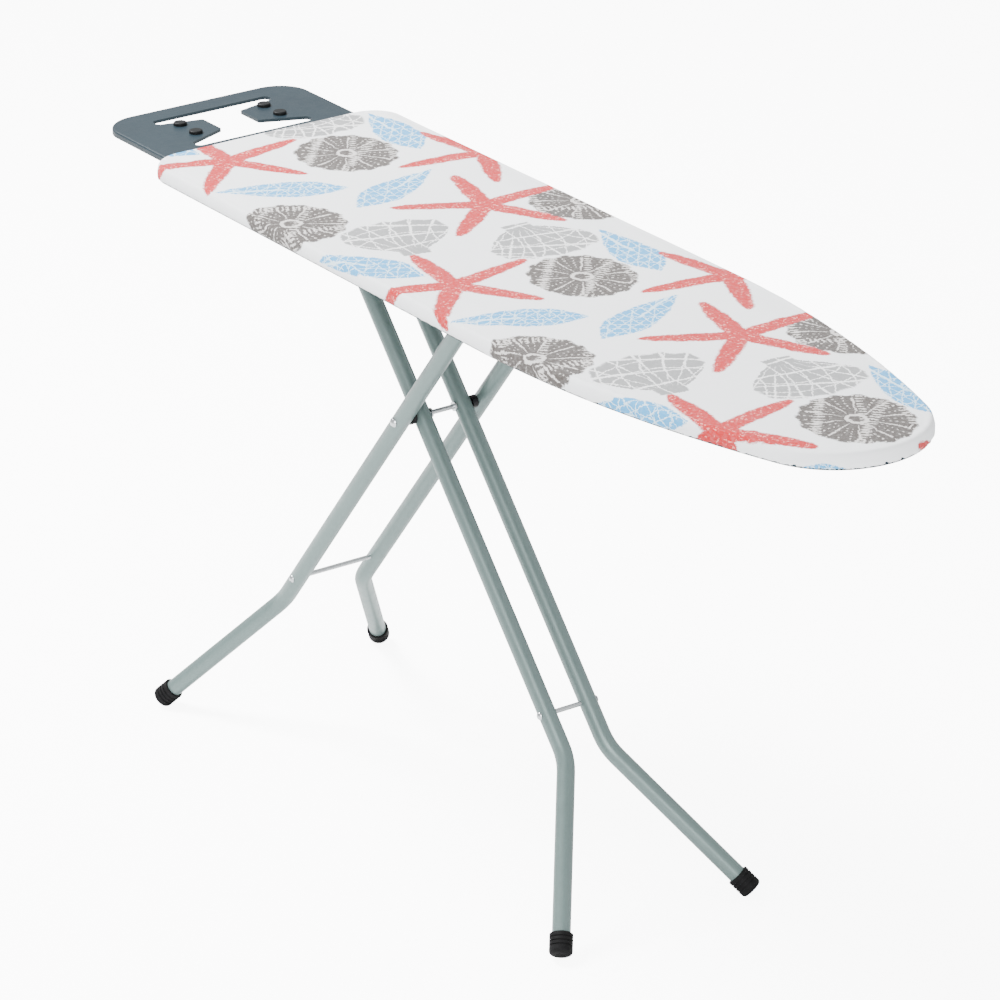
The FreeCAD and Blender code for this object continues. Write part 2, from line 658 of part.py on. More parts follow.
# Main pivot: one rod through all four tubes, spacers between the frames, heads and push-on washers
rod_half = outer_leg_y + tube_radius
spacer_outer_y = outer_leg_y - tube_radius
spacer_inner_y = inner_leg_y + tube_radius + SIDE_GAP


def make_pivot_rod():
    return rod_y(0, 0, PIVOT_ROD_DIAMETER / 2, -rod_half, rod_half)


def make_pivot_heads():
    head = rod_head(0, rod_half, 12.0, 4.0)
    return group([head, mirrored(head)])


def make_spacer():
    ring = rod_y(0, 0, 8.0, spacer_inner_y, spacer_outer_y)
    return ring.cut(rod_y(0, 0, PIVOT_ROD_DIAMETER / 2, spacer_inner_y, spacer_outer_y))


def make_push_washers():
    outer = inner_leg_y - tube_radius - SIDE_GAP
    washer = rod_y(0, 0, 6.0, outer - 2.0, outer)
    washer = washer.cut(rod_y(0, 0, PIVOT_ROD_DIAMETER / 2, outer - 2.0, outer))
    return group([washer, mirrored(washer)])


# Top of the inner frame: a cross tube on nylon bushes that turn on the hinge rod
def make_top_tube():
    half = HINGE_TUBE_LENGTH / 2
    tube = rod_y(-top_length, 0, tube_radius, -half, half)
    return tube.cut(rod_y(-top_length, 0, tube_radius - RIM_THICKNESS, -half, half))


def make_hinge_bush():
    half = HINGE_TUBE_LENGTH / 2
    plug = rod_y(-top_length, 0, tube_radius - RIM_THICKNESS, half - 14.0, half)
    flange = rod_y(-top_length, 0, tube_radius, half, half + BUSH_FLANGE)
    bore = rod_y(-top_length, 0, HINGE_ROD_DIAMETER / 2 + RUNNING_FIT, half - 15, half + 10)
    return plug.fuse(flange).cut(bore).removeSplitter()


# Top of the outer frame: the slide bar with a roller at each end
bar_half = ROLLER_INNER_Y + ROLLER_WIDTH + 1.5


def make_slide_bar():
    return rod_y(-top_length, 0, SLIDE_BAR_DIAMETER / 2, -bar_half, bar_half)


def make_roller():
    outer_y = ROLLER_INNER_Y + ROLLER_WIDTH
    roller = rod_y(-top_length, 0, ROLLER_DIAMETER / 2, ROLLER_INNER_Y, outer_y)
    roller = roller.makeFillet(1.0, [edge for edge in roller.Edges if edge.BoundBox.YLength < 0.01])
    return roller.cut(rod_y(-top_length, 0, SLIDE_BAR_DIAMETER / 2, ROLLER_INNER_Y, outer_y))


def make_roller_stops():
    """Washers on the slide bar that hold each roller in its place, one on its outer face."""
    outer_y = ROLLER_INNER_Y + ROLLER_WIDTH
    stop = rod_y(-top_length, 0, 8.0, outer_y, outer_y + 1.5)
    stop = stop.cut(rod_y(-top_length, 0, SLIDE_BAR_DIAMETER / 2, outer_y, outer_y + 1.5))
    inner_stop = rod_y(-top_length, 0, 8.0, ROLLER_INNER_Y - 1.5, ROLLER_INNER_Y)
    inner_stop = inner_stop.cut(
        rod_y(-top_length, 0, SLIDE_BAR_DIAMETER / 2, ROLLER_INNER_Y - 1.5, ROLLER_INNER_Y))
    return group([stop, inner_stop, mirrored(stop), mirrored(inner_stop)])


# Height latch: a lever across the board that carries a notched plate over the slide bar.
# It is drawn with its grip at -Y and saved mirrored, so the grip is at the board's left edge.
def make_lever():
    """Flat steel strip: rolled eye at the pin, level over the slide bar, then down to the grip."""
    t = LEVER_THICKNESS
    knee_y = -rail_foot_y + 4.0
    low_y = knee_y - 12.0
    upper = [(LEVER_PIN_Y, strip_top), (knee_y, strip_top), (low_y, grip_z + t), (-LEVER_REACH, grip_z + t)]
    lower = [(-LEVER_REACH, grip_z), (low_y - t / 2, grip_z)]
    lower += [(knee_y - t / 2, strip_bottom), (LEVER_PIN_Y, strip_bottom)]
    x0 = lever_x - LEVER_WIDTH / 2
    points = [Vector(x0, y, z) for y, z in upper + lower]
    strip = Part.Face(Part.makePolygon(points + [points[0]])).extrude(Vector(LEVER_WIDTH, 0, 0))
    along = Vector(1, 0, 0)
    eye = Part.makeCylinder(LEVER_EYE_RADIUS, LEVER_WIDTH, Vector(x0, LEVER_PIN_Y, lever_pin_z), along)
    bore = Part.makeCylinder(LEVER_PIN_DIAMETER / 2 + RUNNING_FIT, LEVER_WIDTH,
                             Vector(x0, LEVER_PIN_Y, lever_pin_z), along)
    return strip.fuse(eye).cut(bore).removeSplitter()


def make_latch_plate():
    """Upright plate with one notch for each height, its teeth just above the slide bar."""
    teeth_z = hinge_z + SLIDE_BAR_DIAMETER / 2 + LATCH_CLEARANCE
    half = LATCH_PLATE_THICKNESS / 2
    plate = box(latch_start_x, lever_x + LEVER_WIDTH / 2, -half, half, teeth_z, strip_bottom)
    first = bar_x(LEG_ANGLE) - (LATCH_NOTCHES // 2) * LATCH_PITCH
    for i in range(LATCH_NOTCHES):
        notch = rod_y(first + i * LATCH_PITCH, teeth_z, SLIDE_BAR_DIAMETER / 2 + 0.5, -half, half)
        plate = plate.cut(notch)
    return plate


def make_grip():
    """Moulded sleeve pushed on the lever's end."""
    half = LEVER_WIDTH / 2 + 3.0
    middle = grip_z + LEVER_THICKNESS / 2
    y0 = -LEVER_REACH - 3.0
    grip = box(lever_x - half, lever_x + half, y0, y0 + GRIP_LENGTH, middle - GRIP_HEIGHT / 2,
               middle + GRIP_HEIGHT / 2)
    grip = grip.makeFillet(3.5, grip.Edges)
    room = box(lever_x - LEVER_WIDTH / 2, lever_x + LEVER_WIDTH / 2, -LEVER_REACH, y0 + GRIP_LENGTH,
               grip_z, grip_z + LEVER_THICKNESS)
    return grip.cut(room)


def make_lever_bracket():
    """Two ears that hold the lever's pin, each with its own riveted foot."""
    ears = []
    for side in (-1, 1):
        inner = lever_x + side * ear_x
        outer = inner + side * BRACKET_THICKNESS
        foot = lever_x + side * foot_end_x
        low = lever_pin_z - LEVER_EYE_RADIUS
        y0 = LEVER_PIN_Y - EAR_HALF_WIDTH
        y1 = LEVER_PIN_Y + EAR_HALF_WIDTH
        ear = box(min(inner, outer), max(inner, outer), y0, y1, low, sheet_bottom)
        base = box(min(inner, foot), max(inner, foot), y0, y1, sheet_bottom - BRACKET_THICKNESS, sheet_bottom)
        ears.append(ear.fuse(base))
    pin = make_lever_pin()
    solids = []
    for ear in ears:
        ear = ear.cut(pin)
        for x, _ in lever_rivets:
            hole = Part.makeCylinder(RIVET_DIAMETER / 2, 10, Vector(x, LEVER_PIN_Y, sheet_bottom - 8))
            ear = ear.cut(hole)
        solids.append(ear.removeSplitter())
    return group(solids)


def make_lever_pin():
    reach = ear_x + BRACKET_THICKNESS + 1.0
    start = Vector(lever_x - reach, LEVER_PIN_Y, lever_pin_z)
    return Part.makeCylinder(LEVER_PIN_DIAMETER / 2, 2 * reach, start, Vector(1, 0, 0))


def make_lever_spring():
    """Small coil between the sheet and the lever's strip."""
    low = strip_top + SPRING_WIRE / 2
    height = sheet_bottom - SPRING_WIRE / 2 - low
    helix = Part.makeHelix(height / SPRING_TURNS, height, SPRING_RADIUS)
    profile = Part.Wire(Part.makeCircle(SPRING_WIRE / 2, Vector(SPRING_RADIUS, 0, 0), Vector(0, 1, 0)))
    coil = Part.Wire(helix.Edges).makePipeShell([profile], True, True)
    coil.translate(Vector(lever_x, -SPRING_Y, low))
    return coil


def build_board():
    save("fabric_cover", make_cover())
    save("foam_pad", make_foam())
    for name, strip in make_rim().items():
        save(name, strip)
    save("top_panel", make_sheet())
    save("iron_rest", make_rest())
    save("rest_rivets", group([rivet(x, y, SHEET_THICKNESS) for x, y in rest_rivets]))
    for i, (x, y) in enumerate(rest_pad_places):
        save("rest_pad_%d" % (i + 1), make_rest_pad(x, y))
    bracket = make_bracket()
    save("hinge_bracket_left", bracket)
    save("hinge_bracket_right", mirrored(bracket))
    save("hinge_rod", make_hinge_rod())
    save("hinge_rod_caps", make_hinge_caps())
    save("hinge_rivets", group([rivet(x, y, BRACKET_THICKNESS) for x, y in hinge_rivets]))
    save("rail_left", make_rail(1))
    save("rail_right", make_rail(-1))
    save("rail_rivets", group([rivet(x, y, RAIL_THICKNESS) for x, y in rail_rivets]))
    save("lever_bracket", mirrored(make_lever_bracket()))
    save("lever_pin", mirrored(make_lever_pin()))
    save("lever_rivets", group([rivet(x, y, BRACKET_THICKNESS) for x, y in lever_rivets]))
    save("lever_spring", make_lever_spring())


def build_latch():
    save("release_lever", mirrored(make_lever()))
    save("latch_plate", make_latch_plate())
    save("lever_grip", mirrored(make_grip()))


def build_frame(name, inner):
    """One leg frame: two bent tubes, a brace and two feet."""
    leg_y = inner_leg_y if inner else outer_leg_y
    leg = make_leg(inner)
    foot = make_foot(leg_y)
    save(name + "_leg_left", stand_up(leg, inner))
    save(name + "_leg_right", stand_up(mirrored(leg), inner))
    save(name + "_foot_left", stand_up(foot, inner))
    save(name + "_foot_right", stand_up(mirrored(foot), inner))
    save(name + "_brace", stand_up(make_brace(leg_y), inner))
    save(name + "_brace_heads", stand_up(make_brace_heads(leg_y), inner))


def build_inner_frame():
    build_frame("inner", True)
    bush = make_hinge_bush()
    save("inner_top_tube", stand_up(make_top_tube(), True))
    save("hinge_bush_left", stand_up(bush, True))
    save("hinge_bush_right", stand_up(mirrored(bush), True))


def build_outer_frame():
    build_frame("outer", False)
    roller = make_roller()
    spacer = make_spacer()
    save("slide_bar", stand_up(make_slide_bar(), False))
    save("slide_roller_left", stand_up(roller, False))
    save("slide_roller_right", stand_up(mirrored(roller), False))
    save("roller_stops", stand_up(make_roller_stops(), False))
    save("pivot_rod", stand_up(make_pivot_rod(), False))
    save("pivot_heads", stand_up(make_pivot_heads(), False))
    save("pivot_spacer_left", stand_up(spacer, False))
    save("pivot_spacer_right", stand_up(mirrored(spacer), False))
    save("pivot_push_washers", stand_up(make_push_washers(), False))


build_board()
build_latch()
build_inner_frame()
build_outer_frame()
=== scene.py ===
import math

import bmesh
import bpy
import numpy as np
from mathutils import Matrix, Vector


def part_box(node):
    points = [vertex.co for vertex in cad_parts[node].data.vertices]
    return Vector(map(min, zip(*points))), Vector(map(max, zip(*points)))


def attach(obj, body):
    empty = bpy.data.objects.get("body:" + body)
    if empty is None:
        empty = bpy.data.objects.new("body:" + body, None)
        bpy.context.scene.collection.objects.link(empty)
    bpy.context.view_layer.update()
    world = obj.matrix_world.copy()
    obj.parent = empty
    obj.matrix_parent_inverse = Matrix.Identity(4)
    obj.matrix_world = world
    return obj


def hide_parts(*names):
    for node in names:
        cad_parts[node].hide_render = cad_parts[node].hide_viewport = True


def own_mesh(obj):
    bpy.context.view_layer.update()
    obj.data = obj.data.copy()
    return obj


# Folding ironing board, metres: +X towards the nose, +Z up, standing on the floor at z = 0.
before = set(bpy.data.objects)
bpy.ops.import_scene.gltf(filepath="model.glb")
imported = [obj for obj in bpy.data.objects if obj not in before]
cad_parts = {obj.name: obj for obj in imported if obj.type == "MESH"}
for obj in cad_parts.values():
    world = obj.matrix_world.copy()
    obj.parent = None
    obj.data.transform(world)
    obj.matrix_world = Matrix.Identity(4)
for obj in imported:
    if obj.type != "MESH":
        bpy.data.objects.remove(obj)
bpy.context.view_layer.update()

# Camera: from the nose end and above, at the right-hand side, with a long lens and no shift
AZIMUTH = math.radians(57.104)
ELEVATION = math.radians(23.099)
ROLL = math.radians(-1.499)
DISTANCE = 5.6987
TARGET = Vector((-0.0316, -0.0021, 0.4377))
backward = Vector((math.sin(AZIMUTH) * math.cos(ELEVATION), -math.cos(AZIMUTH) * math.cos(ELEVATION),
                   math.sin(ELEVATION)))
sideways = Vector((math.cos(AZIMUTH), math.sin(AZIMUTH), 0))
upward = backward.cross(sideways)
camera_x = sideways * math.cos(ROLL) + upward * math.sin(ROLL)
camera_y = upward * math.cos(ROLL) - sideways * math.sin(ROLL)
lens = bpy.data.cameras.new("camera")
lens.sensor_width = 36.0
lens.lens = 173.54
lens.clip_end = 60.0
camera = bpy.data.objects.new("camera", lens)
bpy.context.scene.collection.objects.link(camera)
turn = Matrix((camera_x, camera_y, backward)).transposed()
camera.matrix_world = Matrix.Translation(TARGET + backward * DISTANCE) @ turn.to_4x4()
bpy.context.scene.camera = camera

# Stage: a plain pale floor of seamless paper, one large soft light from behind on the left,
# a weaker fill from the front and an even sky.


def linear(code):
    """A #rrggbb colour as the linear RGBA that the shader sockets take."""
    parts = [int(code[i:i + 2], 16) / 255 for i in (1, 3, 5)]
    return [p / 12.92 if p <= 0.04045 else ((p + 0.055) / 1.055) ** 2.4 for p in parts] + [1.0]


def add_node(tree, kind, inputs=(), **settings):
    """Adds one node. inputs holds values or other nodes' outputs, in order or by socket name or number."""
    node = tree.nodes.new(kind)
    for key, value in settings.items():
        setattr(node, key, value)
    sockets = inputs if isinstance(inputs, dict) else dict(enumerate(inputs))
    for socket, value in sockets.items():
        if isinstance(value, bpy.types.NodeSocket):
            tree.links.new(value, node.inputs[socket])
        else:
            node.inputs[socket].default_value = value
    return node


def surface(name):
    """A new material's tree and its Principled shader, joined to the output."""
    material = bpy.data.materials.new(name)
    material.use_nodes = True
    tree = material.node_tree
    tree.nodes.clear()
    shader = add_node(tree, "ShaderNodeBsdfPrincipled")
    add_node(tree, "ShaderNodeOutputMaterial", (shader.outputs[0],))
    return material, tree, shader


FLOOR_SIZE = 24.0
floor_mesh = bpy.data.meshes.new("floor")
floor_shape = bmesh.new()
bmesh.ops.create_grid(floor_shape, x_segments=1, y_segments=1, size=FLOOR_SIZE / 2)
floor_shape.to_mesh(floor_mesh)
floor_shape.free()
floor = bpy.data.objects.new("floor", floor_mesh)
bpy.context.scene.collection.objects.link(floor)
# matt seamless paper
paper, tree, shader = surface("studio_paper")
place = add_node(tree, "ShaderNodeTexCoord").outputs["Object"]
tone = add_node(tree, "ShaderNodeTexNoise", {"Vector": place, "Scale": 3.0, "Detail": 2.0}).outputs[0]
base_colour_mix = add_node(
    tree, "ShaderNodeMix", {0: tone, 6: linear("#fafafa"), 7: linear("#fdfdfd")},
    data_type="RGBA").outputs[2]
tree.links.new(base_colour_mix, shader.inputs["Base Color"])
shader.inputs["Roughness"].default_value = 0.9
shader.inputs["Specular IOR Level"].default_value = 0.1
shader.inputs["Emission Color"].default_value = linear("#ffffff")
seen = add_node(tree, "ShaderNodeLightPath").outputs["Is Camera Ray"]
emission_strength_product = add_node(tree, "ShaderNodeMath", (seen, 8.0), operation="MULTIPLY").outputs[0]
tree.links.new(emission_strength_product, shader.inputs["Emission Strength"])
floor_mesh.materials.append(paper)
# the paper shows from above only, so that the underside can be seen
rear = add_node(tree, "ShaderNodeNewGeometry").outputs["Backfacing"]
clear = add_node(tree, "ShaderNodeBsdfTransparent")
either = add_node(tree, "ShaderNodeMixShader", {0: rear, 1: shader.outputs[0], 2: clear.outputs[0]})
tree.links.new(either.outputs[0], tree.nodes["Material Output"].inputs[0])


def area_light(name, place, aim, size, power):
    """Square soft light at place that faces aim."""
    lamp = bpy.data.lights.new(name, "AREA")
    lamp.size = size
    lamp.energy = power
    holder = bpy.data.objects.new(name, lamp)
    bpy.context.scene.collection.objects.link(holder)
    holder.location = place
    holder.rotation_mode = "QUATERNION"
    holder.rotation_quaternion = (Vector(aim) - Vector(place)).to_track_quat("-Z", "Y")


area_light("key", (-2.4, -0.9, 3.6), (0, 0, 0.5), 1.4, 460.0)
area_light("fill", (3.2, -2.6, 2.2), (0, 0, 0.4), 2.4, 190.0)
sky = bpy.data.worlds.new("sky")
sky.use_nodes = True
sky.node_tree.nodes["Background"].inputs["Color"].default_value = linear("#fafbfc")
seen = add_node(sky.node_tree, "ShaderNodeLightPath").outputs["Is Camera Ray"]
sky_strength = add_node(sky.node_tree, "ShaderNodeMapRange", (seen, 0.0, 1.0, 1.15, 9.0)).outputs[0]
sky.node_tree.links.new(sky_strength, sky.node_tree.nodes["Background"].inputs["Strength"])
bpy.context.scene.world = sky


# Fabric cover: printed plain-weave cotton drawn over the foam, turned in under the rim by an elastic hem.
# It is open across the iron rest's plate, and pulled tight enough that only the edge and hem ripple.
# Its plan is the design's: straight sides, one long arc a side, a round nose and rounded corners.
cover_low, cover_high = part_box("fabric_cover")
HALF_WIDTH = cover_high.y
CORNER_RADIUS = 0.045
STRAIGHT_LENGTH = 0.735
NOSE_RADIUS = 0.105
straight_end_x = cover_low.x + STRAIGHT_LENGTH
nose_x = cover_high.x - NOSE_RADIUS
reach = nose_x - straight_end_x
side_radius = (reach ** 2 + HALF_WIDTH ** 2 - NOSE_RADIUS ** 2) / (2 * (HALF_WIDTH - NOSE_RADIUS))
side_turn = math.atan2(reach, side_radius - HALF_WIDTH)


def outline(offset, step):
    """Points and outward normals round the plan, moved out by offset, about step apart, anticlockwise."""
    half = []

    def arc(cx, cy, radius, first, last):
        count = max(3, round(abs(last - first) * radius / step))
        for i in range(count):
            angle = first + (last - first) * i / count
            normal = (math.cos(angle), math.sin(angle))
            half.append((cx + radius * normal[0], cy + radius * normal[1], *normal))

    arc(nose_x, 0, NOSE_RADIUS + offset, 0, math.pi / 2 - side_turn)
    side_y = HALF_WIDTH - side_radius
    arc(straight_end_x, side_y, side_radius + offset, math.pi / 2 - side_turn, math.pi / 2)
    corner_x = cover_low.x + CORNER_RADIUS
    count = round((straight_end_x - corner_x) / step)
    for i in range(count):
        half.append((straight_end_x + (corner_x - straight_end_x) * i / count, HALF_WIDTH + offset, 0, 1))
    arc(corner_x, HALF_WIDTH - CORNER_RADIUS, CORNER_RADIUS + offset, math.pi / 2, math.pi)
    end_y = HALF_WIDTH - CORNER_RADIUS
    count = round(end_y / step)
    for i in range(count):
        half.append((cover_low.x - offset, end_y * (1 - i / count), -1, 0))
    half.append((cover_low.x - offset, 0.0, -1, 0))
    other = [(x, -y, nx, -ny) for x, y, nx, ny in reversed(half[1:-1])]
    return half + other


def slab(loop, low, high):
    """Closed plate of a plan outline, as a bmesh."""
    shape = bmesh.new()
    lower = [shape.verts.new((p[0], p[1], low)) for p in loop]
    upper = [shape.verts.new((p[0], p[1], high)) for p in loop]
    shape.faces.new(lower)
    shape.faces.new(upper)
    for i in range(len(loop)):
        shape.faces.new((lower[i - 1], lower[i], upper[i], upper[i - 1]))
    bmesh.ops.recalc_face_normals(shape, faces=shape.faces)
    return shape


def round_edges(shape, level, radius, segments):
    """Rounds the edges of the slab's face at level."""
    edges = [e for e in shape.edges if all(abs(v.co.z - level) < 1e-5 for v in e.verts)]
    bmesh.ops.bevel(
        shape, geom=edges, offset=radius, offset_type="OFFSET", affect="EDGES", segments=segments,
        profile=0.5, clamp_overlap=True, material=-1)


VOXEL = 0.0065
PLAN_STEP = 0.003
MESH_STEP = 0.004
SIDE_ROOM = 0.0004
TOP_ROOM = 0.0006
REST_LAP = 0.003
HELD_HEM = 0.004
FIRM_EDGE = 0.03
MOST_LIFT = 0.0012
EDGE_RADIUS = 0.0065
HEM_WIDTH = 0.018
CLOTH_THICKNESS = 0.0007
MOST_SWELL = 0.0022
HEM_RADIUS = 0.0018
SKIRT_PUFF = 0.0012
GATHER_PITCH = 0.016
GATHER_DEPTH = 0.0011
TOP = cover_high.z
BOTTOM = cover_low.z
plan = outline(0.0, PLAN_STEP)
plan_points = np.array([p[:2] for p in plan])
plan_normals = np.array([p[2:] for p in plan])
plan_steps = np.linalg.norm(np.roll(plan_points, -1, axis=0) - plan_points, axis=1)
plan_run = np.concatenate(([0.0], np.cumsum(plan_steps)[:-1]))
_, rest_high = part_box("iron_rest")


def nearest_on_plan(points):
    """For XY points: index of the nearest plan point, and how far inside the plan each one lies."""
    index = np.empty(len(points), int)
    for start in range(0, len(points), 4000):
        part = points[start:start + 4000]
        gap = ((part[:, None, :] - plan_points[None, :, :]) ** 2).sum(2)
        index[start:start + 4000] = gap.argmin(1)
    inside = ((plan_points[index] - points) * plan_normals[index]).sum(1)
    return index, inside


cover_shape = slab(outline(-SIDE_ROOM, MESH_STEP), BOTTOM, TOP - TOP_ROOM)
round_edges(cover_shape, TOP - TOP_ROOM, EDGE_RADIUS, 4)
round_edges(cover_shape, BOTTOM, HEM_RADIUS, 2)
cover_mesh = bpy.data.meshes.new("cover_start")
cover_shape.to_mesh(cover_mesh)
cover_shape.free()
maker = bpy.data.objects.new("cover_start", cover_mesh)
bpy.context.scene.collection.objects.link(maker)
remesh = maker.modifiers.new("remesh", "REMESH")
remesh.mode = "VOXEL"
remesh.voxel_size = VOXEL
bpy.context.view_layer.update()
cover_mesh = bpy.data.meshes.new_from_object(maker.evaluated_get(bpy.context.evaluated_depsgraph_get()))
bpy.data.objects.remove(maker)

cover_shape = bmesh.new()
cover_shape.from_mesh(cover_mesh)
centres = np.array([f.calc_center_median() for f in cover_shape.faces])
_, depth = nearest_on_plan(centres[:, :2])
middle_z = (TOP + BOTTOM) / 2
gap_half = rest_high.y - REST_LAP
drop = []
for face, centre, inside in zip(cover_shape.faces, centres, depth):
    underside = centre[2] < middle_z and inside > HEM_WIDTH
    over_rest = centre[0] < cover_low.x + CORNER_RADIUS and abs(centre[1]) < gap_half
    if underside or (over_rest and centre[2] < TOP - EDGE_RADIUS - 0.001):
        drop.append(face)
bmesh.ops.delete(cover_shape, geom=drop, context="FACES")
cover_shape.to_mesh(cover_mesh)
cover_shape.free()

# the cloth swells a little over the foam; the hem and the edge across the rest are held
sewn = bpy.data.objects.new("cover_sewn", cover_mesh)
bpy.context.scene.collection.objects.link(sewn)
before = np.array([v.co for v in cover_mesh.vertices])
edge_count = np.zeros(len(before), int)
for polygon in cover_mesh.polygons:
    for v in polygon.vertices:
        edge_count[v] += 1
held = sewn.vertex_groups.new(name="held")
at_hem = before[:, 2] < BOTTOM + HELD_HEM
held.add([int(i) for i in np.nonzero(at_hem | (edge_count < 3))[0]], 1.0, "REPLACE")
cloth = sewn.modifiers.new("cloth", "CLOTH")
cloth.settings.quality = 4
cloth.settings.mass = 0.2
cloth.settings.tension_stiffness = 30
cloth.settings.compression_stiffness = 20
cloth.settings.bending_stiffness = 0.4
cloth.settings.vertex_group_mass = "held"
cloth.settings.use_pressure = True
cloth.settings.uniform_pressure_force = 3.0
cloth.settings.effector_weights.gravity = 0
cloth.collision_settings.use_collision = False
scene = bpy.context.scene
for number in range(1, 21):
    scene.frame_set(number)
bpy.context.view_layer.update()
swollen = bpy.data.meshes.new_from_object(sewn.evaluated_get(bpy.context.evaluated_depsgraph_get()))
after = np.array([v.co for v in swollen.vertices])
bpy.data.objects.remove(sewn)
scene.frame_set(1)
moved = after - before
length = np.linalg.norm(moved, axis=1, keepdims=True)
moved *= np.minimum(1.0, MOST_SWELL / np.maximum(length, 1e-9))
# the rim and the foam's edge hold the cloth out, and the foam holds it up
index, inside = nearest_on_plan(before[:, :2])
outwards = (moved[:, :2] * plan_normals[index]).sum(1)
lost = np.where(inside < FIRM_EDGE, np.minimum(outwards, 0.0), 0.0)
moved[:, :2] -= plan_normals[index] * lost[:, None]
on_top = before[:, 2] > TOP - EDGE_RADIUS
moved[:, 2] = np.where(on_top, np.clip(moved[:, 2], 0.0, MOST_LIFT), moved[:, 2])
cover_mesh.vertices.foreach_set("co", (before + moved).ravel())
cover_mesh.update()

# one subdivision, the gathers, the flat coordinates of the print, and then the cloth's thickness
cover_mesh.name = "cover_fabric"
cover = bpy.data.objects.new("cover_fabric", cover_mesh)
bpy.context.scene.collection.objects.link(cover)
smoother = cover.modifiers.new("smooth", "SUBSURF")
smoother.levels = 1
bpy.context.view_layer.update()
cover_mesh = bpy.data.meshes.new_from_object(cover.evaluated_get(bpy.context.evaluated_depsgraph_get()))
bpy.data.objects.remove(cover)

points = np.array([v.co for v in cover_mesh.vertices])
index, inside = nearest_on_plan(points[:, :2])
normals = plan_normals[index]
run = plan_run[index]

# the section across the edge is round at the top, slightly puffed down the side and round at the hem
corners = ((TOP - EDGE_RADIUS, EDGE_RADIUS, 1), (BOTTOM + HEM_RADIUS, HEM_RADIUS, -1))
for centre_z, radius, towards in corners:
    past = (points[:, 2] - centre_z) * towards
    away = radius - inside
    corner = (past > 0) & (away > 0)
    stretch = np.where(corner, np.maximum(radius / np.maximum(np.hypot(past, away), 1e-6), 1.0), 1.0)
    points[:, :2] += normals * (away * (stretch - 1))[:, None]
    points[:, 2] = centre_z + past * stretch * towards
moved_out = ((points[:, :2] - plan_points[index]) * normals).sum(1)
inside -= np.where(inside < EDGE_RADIUS, moved_out + inside, 0.0)
skirt = (points[:, 2] <= TOP - EDGE_RADIUS) & (points[:, 2] >= BOTTOM + HEM_RADIUS) & (inside < 0.004)
level = (TOP - EDGE_RADIUS - points[:, 2]) / (TOP - EDGE_RADIUS - BOTTOM - HEM_RADIUS)
puff = SKIRT_PUFF * np.sin(math.pi * np.clip(level, 0.0, 1.0))
points[:, :2] += normals * np.where(skirt, np.maximum(inside, 0.0) + puff, 0.0)[:, None]
below = np.clip((TOP - 0.004 - points[:, 2]) / (TOP - BOTTOM - 0.006), 0.0, 1.0)
gather = np.sin(2 * math.pi * run / GATHER_PITCH + 2.1 * np.sin(run * 37.0))
gather *= 0.6 + 0.4 * np.sin(run * 23.0)
shift = GATHER_DEPTH * gather * below ** 2
points[:, :2] += normals * np.where(inside < HEM_WIDTH * 0.5, shift, 0.0)[:, None] * 0.6
points[:, 2] -= np.where(points[:, 2] < BOTTOM + HEM_RADIUS / 2, np.abs(shift), 0.0)
soft = np.sin(points[:, 0] * 21.0 + 1.3) * np.sin(points[:, 1] * 33.0 + points[:, 0] * 9.0)
points[:, 2] += np.where(points[:, 2] > TOP - 0.004, 0.00035 * soft, 0.0)
cover_mesh.vertices.foreach_set("co", points.ravel())
cover_mesh.update()

PRINT_TURN = math.radians(1.3)
fall = np.maximum(TOP - points[:, 2], 0.0)
tucked = points[:, 2] < middle_z
out = np.where(tucked, fall + np.maximum(inside, 0.0), fall - inside)
flat_xy = plan_points[index] + normals * out[:, None]
flat_xy = np.where(((~tucked) & (fall < 0.001))[:, None], points[:, :2], flat_xy)
cosine, sine = math.cos(PRINT_TURN), math.sin(PRINT_TURN)
turned = np.stack((flat_xy[:, 0] * cosine - flat_xy[:, 1] * sine,
                   flat_xy[:, 0] * sine + flat_xy[:, 1] * cosine), 1)
print_map = cover_mesh.uv_layers.new(name="print")
corner_vertex = np.empty(len(cover_mesh.loops), int)
cover_mesh.loops.foreach_get("vertex_index", corner_vertex)
print_map.data.foreach_set("uv", turned[corner_vertex].astype(np.float32).ravel())

# printed cotton: the motifs are drawn in flat cloth coordinates, with a weave and faint creases over them
cotton, tree, shader = surface("printed_cotton")
flat = add_node(tree, "ShaderNodeUVMap", uv_map="print").outputs[0]
wobble = add_node(
    tree, "ShaderNodeTexNoise", {"Vector": flat, "Scale": 60.0, "Detail": 2.0}).outputs["Color"]
wobble = add_node(
    tree, "ShaderNodeVectorMath", {0: wobble, 1: (0.5, 0.5, 0.5)}, operation="SUBTRACT").outputs[0]
wobble = add_node(tree, "ShaderNodeVectorMath", {0: wobble, "Scale": 0.007}, operation="SCALE").outputs[0]
ragged = add_node(
    tree, "ShaderNodeTexNoise", {"Vector": flat, "Scale": 420.0, "Detail": 1.0}).outputs["Color"]
ragged = add_node(
    tree, "ShaderNodeVectorMath", {0: ragged, 1: (0.5, 0.5, 0.5)}, operation="SUBTRACT").outputs[0]
ragged = add_node(tree, "ShaderNodeVectorMath", {0: ragged, "Scale": 0.0045}, operation="SCALE").outputs[0]
wobble = add_node(tree, "ShaderNodeVectorMath", {0: wobble, 1: ragged}, operation="ADD").outputs[0]
drawn = add_node(tree, "ShaderNodeVectorMath", {0: flat, 1: wobble}, operation="ADD").outputs[0]
REPEAT = 0.528


